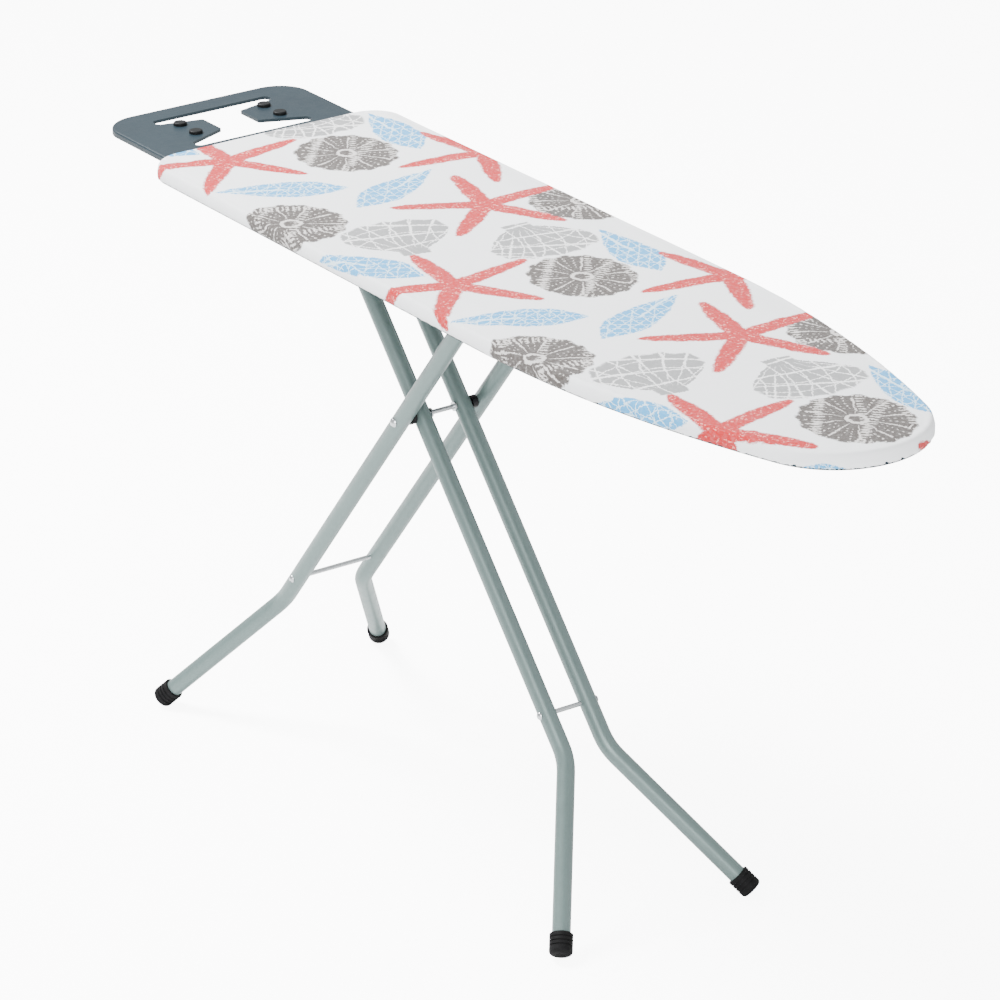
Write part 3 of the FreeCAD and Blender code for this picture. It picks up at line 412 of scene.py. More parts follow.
def shape_group(name):
    """Node group that draws one motif: it takes coordinates and gives its shape and its pale lines."""
    group = bpy.data.node_groups.new(name, "ShaderNodeTree")
    group.interface.new_socket("Place", in_out="INPUT", socket_type="NodeSocketVector")
    group.interface.new_socket("Shape", in_out="OUTPUT", socket_type="NodeSocketFloat")
    group.interface.new_socket("Lines", in_out="OUTPUT", socket_type="NodeSocketFloat")
    place_socket = group.nodes.new("NodeGroupInput").outputs[0]
    split = add_node(group, "ShaderNodeSeparateXYZ", {0: place_socket})
    x, y = split.outputs[0], split.outputs[1]
    distance = add_node(
        group, "ShaderNodeVectorMath", {0: place_socket}, operation="LENGTH").outputs["Value"]
    angle = add_node(group, "ShaderNodeMath", (y, x), operation="ARCTAN2").outputs[0]
    return group, place_socket, x, y, distance, angle


def close_group(group, shape, lines):
    """Gives the group its two outputs."""
    add_node(group, "NodeGroupOutput", {0: shape, 1: lines})
    return group


# sea star: five tapering arms, 1 unit long, with pale grains along them
star, place, x, y, distance, angle = shape_group("sea_star")
fold = add_node(star, "ShaderNodeMath", (angle, math.pi / 5, -math.pi / 5), operation="WRAP").outputs[0]
along_cosine = add_node(star, "ShaderNodeMath", (fold,), operation="COSINE").outputs[0]
along = add_node(star, "ShaderNodeMath", (distance, along_cosine), operation="MULTIPLY").outputs[0]
across_sine = add_node(star, "ShaderNodeMath", (fold,), operation="SINE").outputs[0]
across_product = add_node(star, "ShaderNodeMath", (distance, across_sine), operation="MULTIPLY").outputs[0]
across = add_node(star, "ShaderNodeMath", (across_product,), operation="ABSOLUTE").outputs[0]
taper_power = add_node(star, "ShaderNodeMath", (along, 3.0), operation="POWER").outputs[0]
taper = add_node(star, "ShaderNodeMath", (1.0, taper_power), operation="SUBTRACT").outputs[0]
arm_larger = add_node(star, "ShaderNodeMath", (taper, 0.0), operation="MAXIMUM").outputs[0]
arm_root = add_node(star, "ShaderNodeMath", (arm_larger,), operation="SQRT").outputs[0]
arm = add_node(star, "ShaderNodeMath", (arm_root, 0.108), operation="MULTIPLY").outputs[0]
tip = add_node(star, "ShaderNodeMapRange", (along, 0.97, 1.0, 1.0, 0.0)).outputs[0]
star_shape_gap = add_node(star, "ShaderNodeMath", (across, arm), operation="SUBTRACT").outputs[0]
star_shape_fade = add_node(star, "ShaderNodeMapRange", (star_shape_gap, 0.012, -0.012)).outputs[0]
star_shape = add_node(star, "ShaderNodeMath", (star_shape_fade, tip), operation="MULTIPLY").outputs[0]
grains = add_node(
    star, "ShaderNodeTexVoronoi", {"Vector": place, "Scale": 26.0}, feature="F1").outputs["Distance"]
lit_side_sine = add_node(star, "ShaderNodeMath", (fold,), operation="SINE").outputs[0]
lit_side_product = add_node(
    star, "ShaderNodeMath", (distance, lit_side_sine), operation="MULTIPLY").outputs[0]
lit_side = add_node(star, "ShaderNodeMapRange", (lit_side_product, -0.02, 0.06, 0.0, 0.16)).outputs[0]
grain_gap = add_node(star, "ShaderNodeMath", (grains, lit_side), operation="SUBTRACT").outputs[0]
grain = add_node(star, "ShaderNodeMapRange", (grain_gap, 0.24, 0.18)).outputs[0]
star_shape_lines_gap = add_node(star, "ShaderNodeMath", (across, arm), operation="SUBTRACT").outputs[0]
star_shape_lines_fade = add_node(star, "ShaderNodeMapRange", (star_shape_lines_gap, 0.0, -0.03)).outputs[0]
star_shape_lines = add_node(
    star, "ShaderNodeMath", (grain, star_shape_lines_fade), operation="MULTIPLY").outputs[0]
close_group(star, star_shape, star_shape_lines)

# urchin shell: a round disc with strokes that run out from a ring in its middle
urchin, place, x, y, distance, angle = shape_group("urchin_shell")
frill_product = add_node(urchin, "ShaderNodeMath", (angle, 15.0), operation="MULTIPLY").outputs[0]
frill_sine = add_node(urchin, "ShaderNodeMath", (frill_product,), operation="SINE").outputs[0]
frill = add_node(urchin, "ShaderNodeMath", (frill_sine, 0.025), operation="MULTIPLY").outputs[0]
rim = add_node(urchin, "ShaderNodeMath", (distance, frill), operation="ADD").outputs[0]
urchin_shape = add_node(urchin, "ShaderNodeMapRange", (rim, 1.02, 0.98)).outputs[0]
fold_product = add_node(urchin, "ShaderNodeMath", (angle, 5.0), operation="MULTIPLY").outputs[0]
fold_sine = add_node(urchin, "ShaderNodeMath", (fold_product,), operation="SINE").outputs[0]
fold = add_node(urchin, "ShaderNodeMath", (fold_sine,), operation="ABSOLUTE").outputs[0]
spoke = add_node(urchin, "ShaderNodeMapRange", (fold, 0.17, 0.08)).outputs[0]
spoke_fade = add_node(urchin, "ShaderNodeMapRange", (distance, 0.24, 0.28)).outputs[0]
spoke = add_node(urchin, "ShaderNodeMath", (spoke, spoke_fade), operation="MULTIPLY").outputs[0]
spoke_fade = add_node(urchin, "ShaderNodeMapRange", (distance, 0.9, 0.84)).outputs[0]
spoke = add_node(urchin, "ShaderNodeMath", (spoke, spoke_fade), operation="MULTIPLY").outputs[0]
beads_product = add_node(urchin, "ShaderNodeMath", (distance, 60.0), operation="MULTIPLY").outputs[0]
beads = add_node(urchin, "ShaderNodeMath", (beads_product,), operation="SINE").outputs[0]
fine_product = add_node(urchin, "ShaderNodeMath", (angle, 15.0), operation="MULTIPLY").outputs[0]
fine_sine = add_node(urchin, "ShaderNodeMath", (fine_product,), operation="SINE").outputs[0]
fine = add_node(urchin, "ShaderNodeMath", (fine_sine,), operation="ABSOLUTE").outputs[0]
bead_fade = add_node(urchin, "ShaderNodeMapRange", (beads, 0.2, 0.6)).outputs[0]
bead_fade_2 = add_node(urchin, "ShaderNodeMapRange", (fine, 0.35, 0.2)).outputs[0]
bead = add_node(urchin, "ShaderNodeMath", (bead_fade, bead_fade_2), operation="MULTIPLY").outputs[0]
bead_fade = add_node(urchin, "ShaderNodeMapRange", (distance, 0.4, 0.45)).outputs[0]
bead = add_node(urchin, "ShaderNodeMath", (bead, bead_fade), operation="MULTIPLY").outputs[0]
ring_gap = add_node(urchin, "ShaderNodeMath", (distance, 0.17), operation="SUBTRACT").outputs[0]
ring = add_node(urchin, "ShaderNodeMath", (ring_gap,), operation="ABSOLUTE").outputs[0]
ring = add_node(urchin, "ShaderNodeMapRange", (ring, 0.045, 0.03)).outputs[0]
urchin_lines_larger = add_node(urchin, "ShaderNodeMath", (spoke, bead), operation="MAXIMUM").outputs[0]
urchin_lines = add_node(
    urchin, "ShaderNodeMath", (urchin_lines_larger, ring), operation="MAXIMUM").outputs[0]
close_group(urchin, urchin_shape, urchin_lines)

# cone shell: x from -1 at the narrow end to 1 at the spire, with slanting whorl lines
cone, place, x, y, distance, angle = shape_group("cone_shell")
body_gap = add_node(cone, "ShaderNodeMath", (0.3, x), operation="SUBTRACT").outputs[0]
body = add_node(cone, "ShaderNodeMath", (body_gap, 1.3), operation="DIVIDE").outputs[0]
spire_gap = add_node(cone, "ShaderNodeMath", (x, 0.3), operation="SUBTRACT").outputs[0]
spire = add_node(cone, "ShaderNodeMath", (spire_gap, 0.7), operation="DIVIDE").outputs[0]
reach_out = add_node(cone, "ShaderNodeMath", (body, spire), operation="MAXIMUM").outputs[0]
edge_product = add_node(cone, "ShaderNodeMath", (reach_out, math.pi / 2), operation="MULTIPLY").outputs[0]
edge_cosine = add_node(cone, "ShaderNodeMath", (edge_product,), operation="COSINE").outputs[0]
edge = add_node(cone, "ShaderNodeMath", (edge_cosine, 0.34), operation="MULTIPLY").outputs[0]
wide_size = add_node(cone, "ShaderNodeMath", (y,), operation="ABSOLUTE").outputs[0]
wide = add_node(cone, "ShaderNodeMath", (wide_size, edge), operation="SUBTRACT").outputs[0]
cone_shape = add_node(cone, "ShaderNodeMapRange", (wide, 0.012, -0.012)).outputs[0]
cone_shape_size = add_node(cone, "ShaderNodeMath", (x,), operation="ABSOLUTE").outputs[0]
cone_shape_within = add_node(
    cone, "ShaderNodeMath", (cone_shape_size, 1.0), operation="LESS_THAN").outputs[0]
cone_shape = add_node(
    cone, "ShaderNodeMath", (cone_shape, cone_shape_within), operation="MULTIPLY").outputs[0]
slant = add_node(cone, "ShaderNodeMath", (y, 0.55, x), operation="MULTIPLY_ADD").outputs[0]
whorl_product = add_node(cone, "ShaderNodeMath", (slant, 17.0), operation="MULTIPLY").outputs[0]
whorl_sine = add_node(cone, "ShaderNodeMath", (whorl_product,), operation="SINE").outputs[0]
whorl = add_node(cone, "ShaderNodeMath", (whorl_sine,), operation="ABSOLUTE").outputs[0]
whorl = add_node(cone, "ShaderNodeMapRange", (whorl, 0.2, 0.08)).outputs[0]
whorl_fade = add_node(cone, "ShaderNodeMapRange", (x, 0.1, 0.2)).outputs[0]
whorl = add_node(cone, "ShaderNodeMath", (whorl, whorl_fade), operation="MULTIPLY").outputs[0]
length_line_product = add_node(cone, "ShaderNodeMath", (x, 0.08), operation="MULTIPLY").outputs[0]
length_line_gap = add_node(
    cone, "ShaderNodeMath", (y, length_line_product), operation="SUBTRACT").outputs[0]
length_line = add_node(cone, "ShaderNodeMath", (length_line_gap,), operation="ABSOLUTE").outputs[0]
length_line_fade = add_node(cone, "ShaderNodeMapRange", (length_line, 0.03, 0.015)).outputs[0]
length_line_fade_2 = add_node(cone, "ShaderNodeMapRange", (x, 0.1, 0.0)).outputs[0]
length_line = add_node(
    cone, "ShaderNodeMath", (length_line_fade, length_line_fade_2), operation="MULTIPLY").outputs[0]
shade_product = add_node(cone, "ShaderNodeMath", (slant, 9.0), operation="MULTIPLY").outputs[0]
shade_sine = add_node(cone, "ShaderNodeMath", (shade_product,), operation="SINE").outputs[0]
shade = add_node(cone, "ShaderNodeMath", (shade_sine,), operation="ABSOLUTE").outputs[0]
shade_fade = add_node(cone, "ShaderNodeMapRange", (shade, 0.12, 0.04)).outputs[0]
shade_fade_2 = add_node(cone, "ShaderNodeMapRange", (x, 0.2, 0.1)).outputs[0]
shade = add_node(cone, "ShaderNodeMath", (shade_fade, shade_fade_2), operation="MULTIPLY").outputs[0]
cone_lines_larger = add_node(cone, "ShaderNodeMath", (whorl, length_line), operation="MAXIMUM").outputs[0]
cone_lines = add_node(cone, "ShaderNodeMath", (cone_lines_larger, shade), operation="MAXIMUM").outputs[0]
close_group(cone, cone_shape, cone_lines)

# scallop: a fan from its hinge at 0 along +x, 1 unit long, with ribs and growth rings
scallop, place, x, y, distance, angle = shape_group("scallop")
wave_product = add_node(scallop, "ShaderNodeMath", (angle, 12.0), operation="MULTIPLY").outputs[0]
wave_sine = add_node(scallop, "ShaderNodeMath", (wave_product,), operation="SINE").outputs[0]
wave = add_node(scallop, "ShaderNodeMath", (wave_sine,), operation="ABSOLUTE").outputs[0]
outer = add_node(scallop, "ShaderNodeMath", (wave, 0.04, distance), operation="MULTIPLY_ADD").outputs[0]
spread_size = add_node(scallop, "ShaderNodeMath", (angle,), operation="ABSOLUTE").outputs[0]
spread_ratio = add_node(scallop, "ShaderNodeMath", (spread_size, 0.92), operation="DIVIDE").outputs[0]
spread = add_node(scallop, "ShaderNodeMath", (spread_ratio, 5.0), operation="POWER").outputs[0]
shoulder_gap = add_node(scallop, "ShaderNodeMath", (1.04, spread), operation="SUBTRACT").outputs[0]
shoulder = add_node(scallop, "ShaderNodeMath", (shoulder_gap, 0.0), operation="MAXIMUM").outputs[0]
shoulder = add_node(scallop, "ShaderNodeMath", (shoulder,), operation="SQRT").outputs[0]
fan_gap = add_node(scallop, "ShaderNodeMath", (outer, shoulder), operation="SUBTRACT").outputs[0]
fan = add_node(scallop, "ShaderNodeMapRange", (fan_gap, 0.015, -0.015)).outputs[0]
ears_product = add_node(scallop, "ShaderNodeMath", (y, 0.5), operation="MULTIPLY").outputs[0]
ears_size = add_node(scallop, "ShaderNodeMath", (ears_product,), operation="ABSOLUTE").outputs[0]
ears_gap = add_node(scallop, "ShaderNodeMath", (x, 0.06), operation="SUBTRACT").outputs[0]
ears_size_2 = add_node(scallop, "ShaderNodeMath", (ears_gap,), operation="ABSOLUTE").outputs[0]
ears = add_node(scallop, "ShaderNodeMath", (ears_size, ears_size_2), operation="MAXIMUM").outputs[0]
ears = add_node(scallop, "ShaderNodeMapRange", (ears, 0.08, 0.07)).outputs[0]
scallop_shape = add_node(scallop, "ShaderNodeMath", (fan, ears), operation="MAXIMUM").outputs[0]
rib = add_node(scallop, "ShaderNodeMapRange", (wave, 0.2, 0.08)).outputs[0]
rib_fade = add_node(scallop, "ShaderNodeMapRange", (distance, 0.16, 0.22)).outputs[0]
rib = add_node(scallop, "ShaderNodeMath", (rib, rib_fade), operation="MULTIPLY").outputs[0]
rings_product = add_node(scallop, "ShaderNodeMath", (distance, 15.0), operation="MULTIPLY").outputs[0]
rings_sine = add_node(scallop, "ShaderNodeMath", (rings_product,), operation="SINE").outputs[0]
rings = add_node(scallop, "ShaderNodeMath", (rings_sine,), operation="ABSOLUTE").outputs[0]
rings_fade = add_node(scallop, "ShaderNodeMapRange", (rings, 0.14, 0.06)).outputs[0]
rings_fade_2 = add_node(scallop, "ShaderNodeMapRange", (distance, 0.5, 0.56)).outputs[0]
rings = add_node(scallop, "ShaderNodeMath", (rings_fade, rings_fade_2), operation="MULTIPLY").outputs[0]
scallop_lines = add_node(scallop, "ShaderNodeMath", (rib, rings), operation="MAXIMUM").outputs[0]
close_group(scallop, scallop_shape, scallop_lines)


def motif(group, centre, turn_deg, size):
    """One motif of the repeat: centre and half size in mm, turn in degrees. Gives its shape and lines."""
    gap = (centre[0] / 1000, centre[1] / 1000, 0)
    moved = add_node(tree, "ShaderNodeVectorMath", {0: drawn, 1: gap}, operation="SUBTRACT").outputs[0]
    high = (REPEAT / 2, 10.0, 0.0)
    low = (-REPEAT / 2, -10.0, 0.0)
    wrapped = add_node(
        tree, "ShaderNodeVectorMath", {0: moved, 1: high, 2: low}, operation="WRAP").outputs[0]
    spun = add_node(tree, "ShaderNodeMapping",
                    {0: wrapped, "Rotation": (0, 0, -math.radians(turn_deg))}).outputs[0]
    scale = (1000 / size[0], 1000 / size[1], 1.0)
    sized = add_node(tree, "ShaderNodeMapping", {0: spun, "Scale": scale}).outputs[0]
    drawing = add_node(tree, "ShaderNodeGroup", node_tree=group)
    tree.links.new(sized, drawing.inputs[0])
    return drawing.outputs[0], drawing.outputs[1]


def joined(drawings):
    """The shapes of several motifs together, and their lines."""
    shape, lines = drawings[0]
    for other_shape, other_lines in drawings[1:]:
        shape = add_node(tree, "ShaderNodeMath", (shape, other_shape), operation="MAXIMUM").outputs[0]
        lines = add_node(tree, "ShaderNodeMath", (lines, other_lines), operation="MAXIMUM").outputs[0]
    return shape, lines


# one repeat of the print: each motif's centre in mm, its turn in degrees and its half size in mm
stars = joined([motif(star, (-475, -108), 30, (115, 115)), motif(star, (-157, 65), 24, (115, 115)),
                motif(star, (-320, 165), 48, (115, 115))])
urchins = joined([motif(urchin, (-415, 26), 0, (70, 60)), motif(urchin, (-236, -155), 20, (70, 60)),
                  motif(urchin, (-105, 165), -10, (70, 60))])
cones = joined([motif(cone, (-455, 118), -7, (80, 80)), motif(cone, (-270, 8), -66, (80, 80)),
                motif(cone, (-345, -105), 59, (80, 80)), motif(cone, (-63, -155), 25, (80, 80))])
scallops = joined([motif(scallop, (-60, -88), 169, (117, 117)), motif(scallop, (-77, 55), -5, (117, 117))])

ground = linear("#f7f9fb")
colour = ground
for (shape, lines), ink, lining in (
        (scallops, linear("#8f9091"), linear("#f4f4f4")),
        (cones, linear("#3f9ed8"), linear("#d3ecfa")),
        (urchins, linear("#4a4440"), linear("#cfcbc8")),
        (stars, linear("#b80008"), linear("#ea8880"))):
    inked = add_node(tree, "ShaderNodeMix", {0: lines, 6: ink, 7: lining}, data_type="RGBA").outputs[2]
    colour = add_node(tree, "ShaderNodeMix", {0: shape, 6: colour, 7: inked}, data_type="RGBA").outputs[2]
mottle = add_node(tree, "ShaderNodeTexNoise", {"Vector": flat, "Scale": 220.0, "Detail": 4.0}).outputs[0]
colour_fade = add_node(tree, "ShaderNodeMapRange", (mottle, 0.45, 0.8, 0.0, 0.1)).outputs[0]
colour = add_node(
    tree, "ShaderNodeMix", {0: colour_fade, 6: colour, 7: linear("#ffffff")}, data_type="RGBA").outputs[2]
slub = add_node(
    tree, "ShaderNodeTexNoise",
    {
        "Vector": add_node(tree, "ShaderNodeMapping", {0: flat, "Scale": (0.15, 1.0, 1.0)}).outputs[0],
        "Scale": 1400.0, "Detail": 2.0}).outputs[0]
colour_fade = add_node(tree, "ShaderNodeMapRange", (slub, 0.35, 0.75, 0.0, 0.07)).outputs[0]
colour = add_node(
    tree, "ShaderNodeMix", {0: colour_fade, 6: colour, 7: linear("#c9ccd0")}, data_type="RGBA").outputs[2]
tree.links.new(colour, shader.inputs["Base Color"])
weft = add_node(
    tree, "ShaderNodeTexWave", {"Vector": flat, "Scale": 500.0, "Distortion": 0.6},
    bands_direction="X")
warp = add_node(
    tree, "ShaderNodeTexWave", {"Vector": flat, "Scale": 500.0, "Distortion": 0.6},
    bands_direction="Y")
weave = add_node(tree, "ShaderNodeMath", (weft.outputs[1], warp.outputs[1]), operation="MAXIMUM").outputs[0]
fibres = add_node(tree, "ShaderNodeMath", (slub, 0.5, weave), operation="MULTIPLY_ADD").outputs[0]
weave_normal = add_node(
    tree, "ShaderNodeBump", {"Height": fibres, "Distance": 0.00012, "Strength": 0.6}).outputs[0]
creases = add_node(tree, "ShaderNodeTexNoise", {"Vector": flat, "Scale": 14.0, "Detail": 3.0}).outputs[0]
crease_bump = add_node(tree, "ShaderNodeBump", {"Height": creases, "Distance": 0.0035, "Strength": 0.5,
                                                "Normal": weave_normal})
tree.links.new(crease_bump.outputs[0], shader.inputs["Normal"])
shader.inputs["Roughness"].default_value = 0.82
shader.inputs["Sheen Weight"].default_value = 0.15
shader.inputs["Sheen Roughness"].default_value = 0.4
shader.inputs["Specular IOR Level"].default_value = 0.25


def new_piece(name, mesh, material, body):
    """Links a finished mesh as a piece with its material and its body."""
    piece = bpy.data.objects.new(name, mesh)
    bpy.context.scene.collection.objects.link(piece)
    mesh.materials.append(material)
    for polygon in mesh.polygons:
        polygon.use_smooth = True
    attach(piece, body)
    return piece


cover = new_piece("cover_fabric", cover_mesh, cotton, "board")
shell = cover.modifiers.new("thickness", "SOLIDIFY")
shell.thickness = CLOTH_THICKNESS
shell.offset = -1.0
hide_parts("fabric_cover")

# Foam layer: a sheet of open-cell polyurethane foam, cut to the board's plan. It is glued to nothing
# and is held between the cover and the perforated steel top.
foam_low, foam_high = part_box("foam_pad")
FOAM_TUCK = 0.0025
FOAM_EDGE_RADIUS = 0.0042
foam_offset = foam_high.y - HALF_WIDTH - FOAM_TUCK
foam_top = foam_high.z - TOP_ROOM
foam_shape = slab(outline(foam_offset, MESH_STEP), foam_low.z, foam_top)
round_edges(foam_shape, foam_top, FOAM_EDGE_RADIUS, 4)
foam_mesh = bpy.data.meshes.new("foam_layer")
foam_shape.to_mesh(foam_mesh)
foam_shape.free()
# open-cell foam, pale yellow-white, with painted shade in its pores
foam_material, tree, shader = surface("open_cell_foam")
place = add_node(tree, "ShaderNodeTexCoord").outputs["Object"]
cells = add_node(tree, "ShaderNodeTexVoronoi", {"Vector": place, "Scale": 900.0}).outputs["Distance"]
# painted shade: the colour darkens towards each cell's middle, where the bump sinks
pore_shaded_tint = add_node(
    tree, "ShaderNodeMix", {0: cells, 6: linear("#d9d6c6"), 7: linear("#f2f0e6")},
    data_type="RGBA").outputs[2]
tree.links.new(pore_shaded_tint, shader.inputs["Base Color"])
normal_bump = add_node(
    tree, "ShaderNodeBump", {"Height": cells, "Distance": 0.0005, "Strength": 1.0}).outputs[0]
tree.links.new(normal_bump, shader.inputs["Normal"])
shader.inputs["Roughness"].default_value = 0.95
foam = new_piece("foam_layer", foam_mesh, foam_material, "board")
for polygon in foam_mesh.polygons:
    polygon.use_smooth = len(polygon.vertices) == 4
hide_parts("foam_pad")

# Steel top, rim, iron rest, brackets and rails: cut, pressed and folded sheet steel, riveted together.
# The powder coat is a dark blue-grey satin with a faint orange peel.


def dress(names, material):
    """Gives the designed nodes their material."""
    for name in names:
        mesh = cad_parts[name].data
        mesh.materials.clear()
        mesh.materials.append(material)


panel_paint, tree, shader = surface("powder_coat_blue_grey")
place = add_node(tree, "ShaderNodeTexCoord").outputs["Object"]
drift = add_node(tree, "ShaderNodeTexNoise", {"Vector": place, "Scale": 9.0, "Detail": 2.0}).outputs[0]
peel = add_node(tree, "ShaderNodeTexNoise", {"Vector": place, "Scale": 700.0, "Detail": 3.0}).outputs[0]
base_colour_mix = add_node(
    tree, "ShaderNodeMix", {0: drift, 6: linear("#14222a"), 7: linear("#1b2b33")},
    data_type="RGBA").outputs[2]
tree.links.new(base_colour_mix, shader.inputs["Base Color"])
roughness_noise = add_node(
    tree, "ShaderNodeTexNoise", {"Vector": place, "Scale": 60.0, "Detail": 2.0}).outputs[0]
roughness_fade = add_node(tree, "ShaderNodeMapRange", (roughness_noise, 0.3, 0.7, 0.36, 0.46)).outputs[0]
tree.links.new(roughness_fade, shader.inputs["Roughness"])
normal_bump = add_node(
    tree, "ShaderNodeBump", {"Height": peel, "Distance": 0.00012, "Strength": 1.0}).outputs[0]
tree.links.new(normal_bump, shader.inputs["Normal"])
shader.inputs["Specular IOR Level"].default_value = 0.25
dress(["rim_corner_left", "rim_corner_right", "rim_side_left", "rim_side_right", "rim_taper_left",
       "rim_taper_right", "rim_nose", "top_panel", "iron_rest", "hinge_bracket_left", "hinge_bracket_right",
       "rail_left", "rail_right", "lever_bracket"], panel_paint)

# Leg tubes and the inner frame's cross tube: round steel tube, the legs bent once above each foot.
# The powder coat is a light grey-green satin, with fine metal flakes that glint a little.
leg_paint, tree, shader = surface("powder_coat_silver_green")
place = add_node(tree, "ShaderNodeTexCoord").outputs["Object"]
drift = add_node(tree, "ShaderNodeTexNoise", {"Vector": place, "Scale": 6.0, "Detail": 2.0}).outputs[0]
flakes = add_node(tree, "ShaderNodeTexNoise", {"Vector": place, "Scale": 1800.0, "Detail": 1.0}).outputs[0]
base = add_node(
    tree, "ShaderNodeMix", {0: drift, 6: linear("#5f706e"), 7: linear("#6b7c7a")},
    data_type="RGBA").outputs[2]
base_fade = add_node(tree, "ShaderNodeMapRange", (flakes, 0.55, 0.8, 0.0, 0.35)).outputs[0]
base = add_node(
    tree, "ShaderNodeMix", {0: base_fade, 6: base, 7: linear("#93a5a1")}, data_type="RGBA").outputs[2]
tree.links.new(base, shader.inputs["Base Color"])
roughness_noise = add_node(
    tree, "ShaderNodeTexNoise", {"Vector": place, "Scale": 80.0, "Detail": 2.0}).outputs[0]
roughness_fade = add_node(tree, "ShaderNodeMapRange", (roughness_noise, 0.3, 0.7, 0.3, 0.4)).outputs[0]
tree.links.new(roughness_fade, shader.inputs["Roughness"])
normal_noise = add_node(
    tree, "ShaderNodeTexNoise", {"Vector": place, "Scale": 650.0, "Detail": 2.0}).outputs[0]
normal_bump = add_node(
    tree, "ShaderNodeBump", {"Height": normal_noise, "Distance": 0.0001, "Strength": 1.0}).outputs[0]
tree.links.new(normal_bump, shader.inputs["Normal"])
shader.inputs["Metallic"].default_value = 0.35
dress(
    ["inner_leg_left", "inner_leg_right", "outer_leg_left", "outer_leg_right", "inner_top_tube"],
    leg_paint)

# Rods, braces, rivets, caps, washers, slide bar, lever and latch: drawn or stamped steel, pushed or
# riveted in place. The bright zinc plate is faintly clouded, with drawing lines along the rods.
zinc, tree, shader = surface("bright_zinc_plate")
place = add_node(tree, "ShaderNodeTexCoord").outputs["Object"]
cloud = add_node(tree, "ShaderNodeTexNoise", {"Vector": place, "Scale": 240.0, "Detail": 3.0}).outputs[0]
drawn_lines = add_node(
    tree, "ShaderNodeTexNoise",
    {
        "Vector": add_node(tree, "ShaderNodeMapping", {0: place, "Scale": (1.0, 0.08, 1.0)}).outputs[0],
        "Scale": 2200.0, "Detail": 2.0}).outputs[0]
base_colour_mix = add_node(
    tree, "ShaderNodeMix", {0: cloud, 6: linear("#b9bdc0"), 7: linear("#d3d6d7")},
    data_type="RGBA").outputs[2]
tree.links.new(base_colour_mix, shader.inputs["Base Color"])
roughness_fade = add_node(tree, "ShaderNodeMapRange", (cloud, 0.3, 0.7, 0.2, 0.34)).outputs[0]
tree.links.new(roughness_fade, shader.inputs["Roughness"])
normal_bump = add_node(
    tree, "ShaderNodeBump", {"Height": drawn_lines, "Distance": 4e-05, "Strength": 1.0}).outputs[0]
tree.links.new(normal_bump, shader.inputs["Normal"])
shader.inputs["Metallic"].default_value = 1.0
dress(
    [
        "rest_rivets", "hinge_rod", "hinge_rod_caps", "hinge_rivets", "rail_rivets", "lever_pin",
        "lever_rivets", "release_lever", "latch_plate", "inner_brace", "inner_brace_heads", "outer_brace",
        "outer_brace_heads", "slide_bar", "roller_stops", "pivot_rod", "pivot_heads",
        "pivot_push_washers"],
    zinc)

# Feet: ribbed caps of moulded black rubber, pushed over the ends of the four leg tubes.
# The skin is matt and grainy, with a little dust in it.
rubber, tree, shader = surface("matt_black_rubber")
place = add_node(tree, "ShaderNodeTexCoord").outputs["Object"]
grain = add_node(tree, "ShaderNodeTexNoise", {"Vector": place, "Scale": 1500.0, "Detail": 3.0}).outputs[0]
dust = add_node(tree, "ShaderNodeTexNoise", {"Vector": place, "Scale": 90.0, "Detail": 4.0}).outputs[0]
base_colour_fade = add_node(tree, "ShaderNodeMapRange", (dust, 0.4, 0.8)).outputs[0]
base_colour_mix = add_node(
    tree, "ShaderNodeMix", {0: base_colour_fade, 6: linear("#0b0b0c"), 7: linear("#161617")},
    data_type="RGBA").outputs[2]
tree.links.new(base_colour_mix, shader.inputs["Base Color"])
roughness_fade = add_node(tree, "ShaderNodeMapRange", (dust, 0.3, 0.7, 0.55, 0.7)).outputs[0]
tree.links.new(roughness_fade, shader.inputs["Roughness"])
normal_bump = add_node(
    tree, "ShaderNodeBump", {"Height": grain, "Distance": 0.00015, "Strength": 1.0}).outputs[0]
tree.links.new(normal_bump, shader.inputs["Normal"])
shader.inputs["Specular IOR Level"].default_value = 0.12
dress(["inner_foot_left", "inner_foot_right", "outer_foot_left", "outer_foot_right"], rubber)

# Bushes, rollers, spacers and the lever's grip: injection-moulded black nylon, pushed on.
# The mould leaves a satin skin with a fine spark-eroded grain.
nylon, tree, shader = surface("moulded_black_nylon")
place = add_node(tree, "ShaderNodeTexCoord").outputs["Object"]
eroded = add_node(tree, "ShaderNodeTexNoise", {"Vector": place, "Scale": 2200.0, "Detail": 2.0}).outputs[0]
patch = add_node(tree, "ShaderNodeTexNoise", {"Vector": place, "Scale": 120.0, "Detail": 2.0}).outputs[0]
base_colour_mix = add_node(
    tree, "ShaderNodeMix", {0: patch, 6: linear("#0e0e10"), 7: linear("#171719")},
    data_type="RGBA").outputs[2]
tree.links.new(base_colour_mix, shader.inputs["Base Color"])
roughness_fade = add_node(tree, "ShaderNodeMapRange", (patch, 0.3, 0.7, 0.38, 0.48)).outputs[0]
tree.links.new(roughness_fade, shader.inputs["Roughness"])
normal_bump = add_node(
    tree, "ShaderNodeBump", {"Height": eroded, "Distance": 6e-05, "Strength": 1.0}).outputs[0]
tree.links.new(normal_bump, shader.inputs["Normal"])
shader.inputs["Specular IOR Level"].default_value = 0.2
dress(
    [
        "hinge_bush_left", "hinge_bush_right", "slide_roller_left", "slide_roller_right",
        "pivot_spacer_left", "pivot_spacer_right", "lever_grip"],
    nylon)

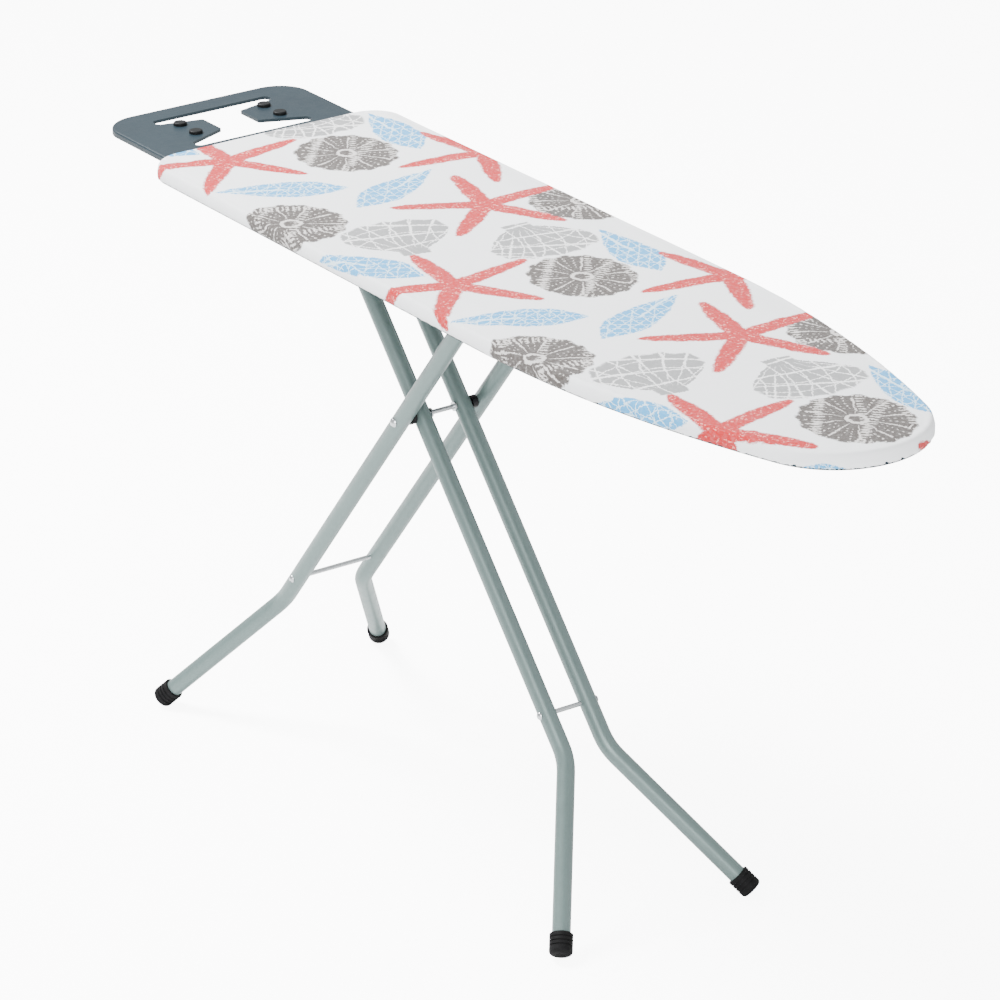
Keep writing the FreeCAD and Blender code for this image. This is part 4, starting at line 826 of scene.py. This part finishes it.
# Pads on the iron rest: four moulded black silicone buttons, which keep a hot iron off the plate.
# They are smooth, with a soft bloom.
silicone, tree, shader = surface("black_silicone")
place = add_node(tree, "ShaderNodeTexCoord").outputs["Object"]
bloom = add_node(tree, "ShaderNodeTexNoise", {"Vector": place, "Scale": 260.0, "Detail": 3.0}).outputs[0]
base_colour_mix = add_node(
    tree, "ShaderNodeMix", {0: bloom, 6: linear("#0c0d0e"), 7: linear("#17191a")},
    data_type="RGBA").outputs[2]
tree.links.new(base_colour_mix, shader.inputs["Base Color"])
roughness_fade = add_node(tree, "ShaderNodeMapRange", (bloom, 0.3, 0.7, 0.4, 0.55)).outputs[0]
tree.links.new(roughness_fade, shader.inputs["Roughness"])
normal_bump = add_node(
    tree, "ShaderNodeBump", {"Height": bloom, "Distance": 5e-05, "Strength": 1.0}).outputs[0]
tree.links.new(normal_bump, shader.inputs["Normal"])
shader.inputs["Specular IOR Level"].default_value = 0.12
dress(["rest_pad_1", "rest_pad_2", "rest_pad_3", "rest_pad_4"], silicone)

# Lever spring: a small coil of zinc-plated steel wire, held between the sheet and the lever.
WIRE = 0.0012
TURNS = 5.0
spring_low, spring_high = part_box("lever_spring")
spring_centre = (spring_low + spring_high) / 2
coil_radius = (spring_high.y - spring_low.y - WIRE) / 2
coil_height = spring_high.z - spring_low.z - WIRE
STEPS = 40
RING = 10
coil_shape = bmesh.new()
rings = []
for i in range(int(TURNS * STEPS) + 1):
    share = i / (TURNS * STEPS)
    angle = 2 * math.pi * TURNS * share
    radial = Vector((math.cos(angle), math.sin(angle), 0))
    middle = Vector((spring_centre.x, spring_centre.y, spring_low.z + WIRE / 2 + coil_height * share))
    middle += radial * coil_radius
    section = []
    for k in range(RING):
        around_wire = 2 * math.pi * k / RING
        side = radial * math.cos(around_wire) + Vector((0, 0, math.sin(around_wire)))
        section.append(coil_shape.verts.new(middle + side * (WIRE / 2)))
    rings.append(section)
for first, second in zip(rings, rings[1:]):
    for k in range(RING):
        coil_shape.faces.new((first[k], first[(k + 1) % RING], second[(k + 1) % RING], second[k]))
coil_shape.faces.new(rings[0])
coil_shape.faces.new(rings[-1])
bmesh.ops.recalc_face_normals(coil_shape, faces=coil_shape.faces)
coil_mesh = bpy.data.meshes.new("coil_spring")
coil_shape.to_mesh(coil_mesh)
coil_shape.free()
coil = new_piece("coil_spring", coil_mesh, zinc, "board")
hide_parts("lever_spring")
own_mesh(coil)

bpy.context.view_layer.update()
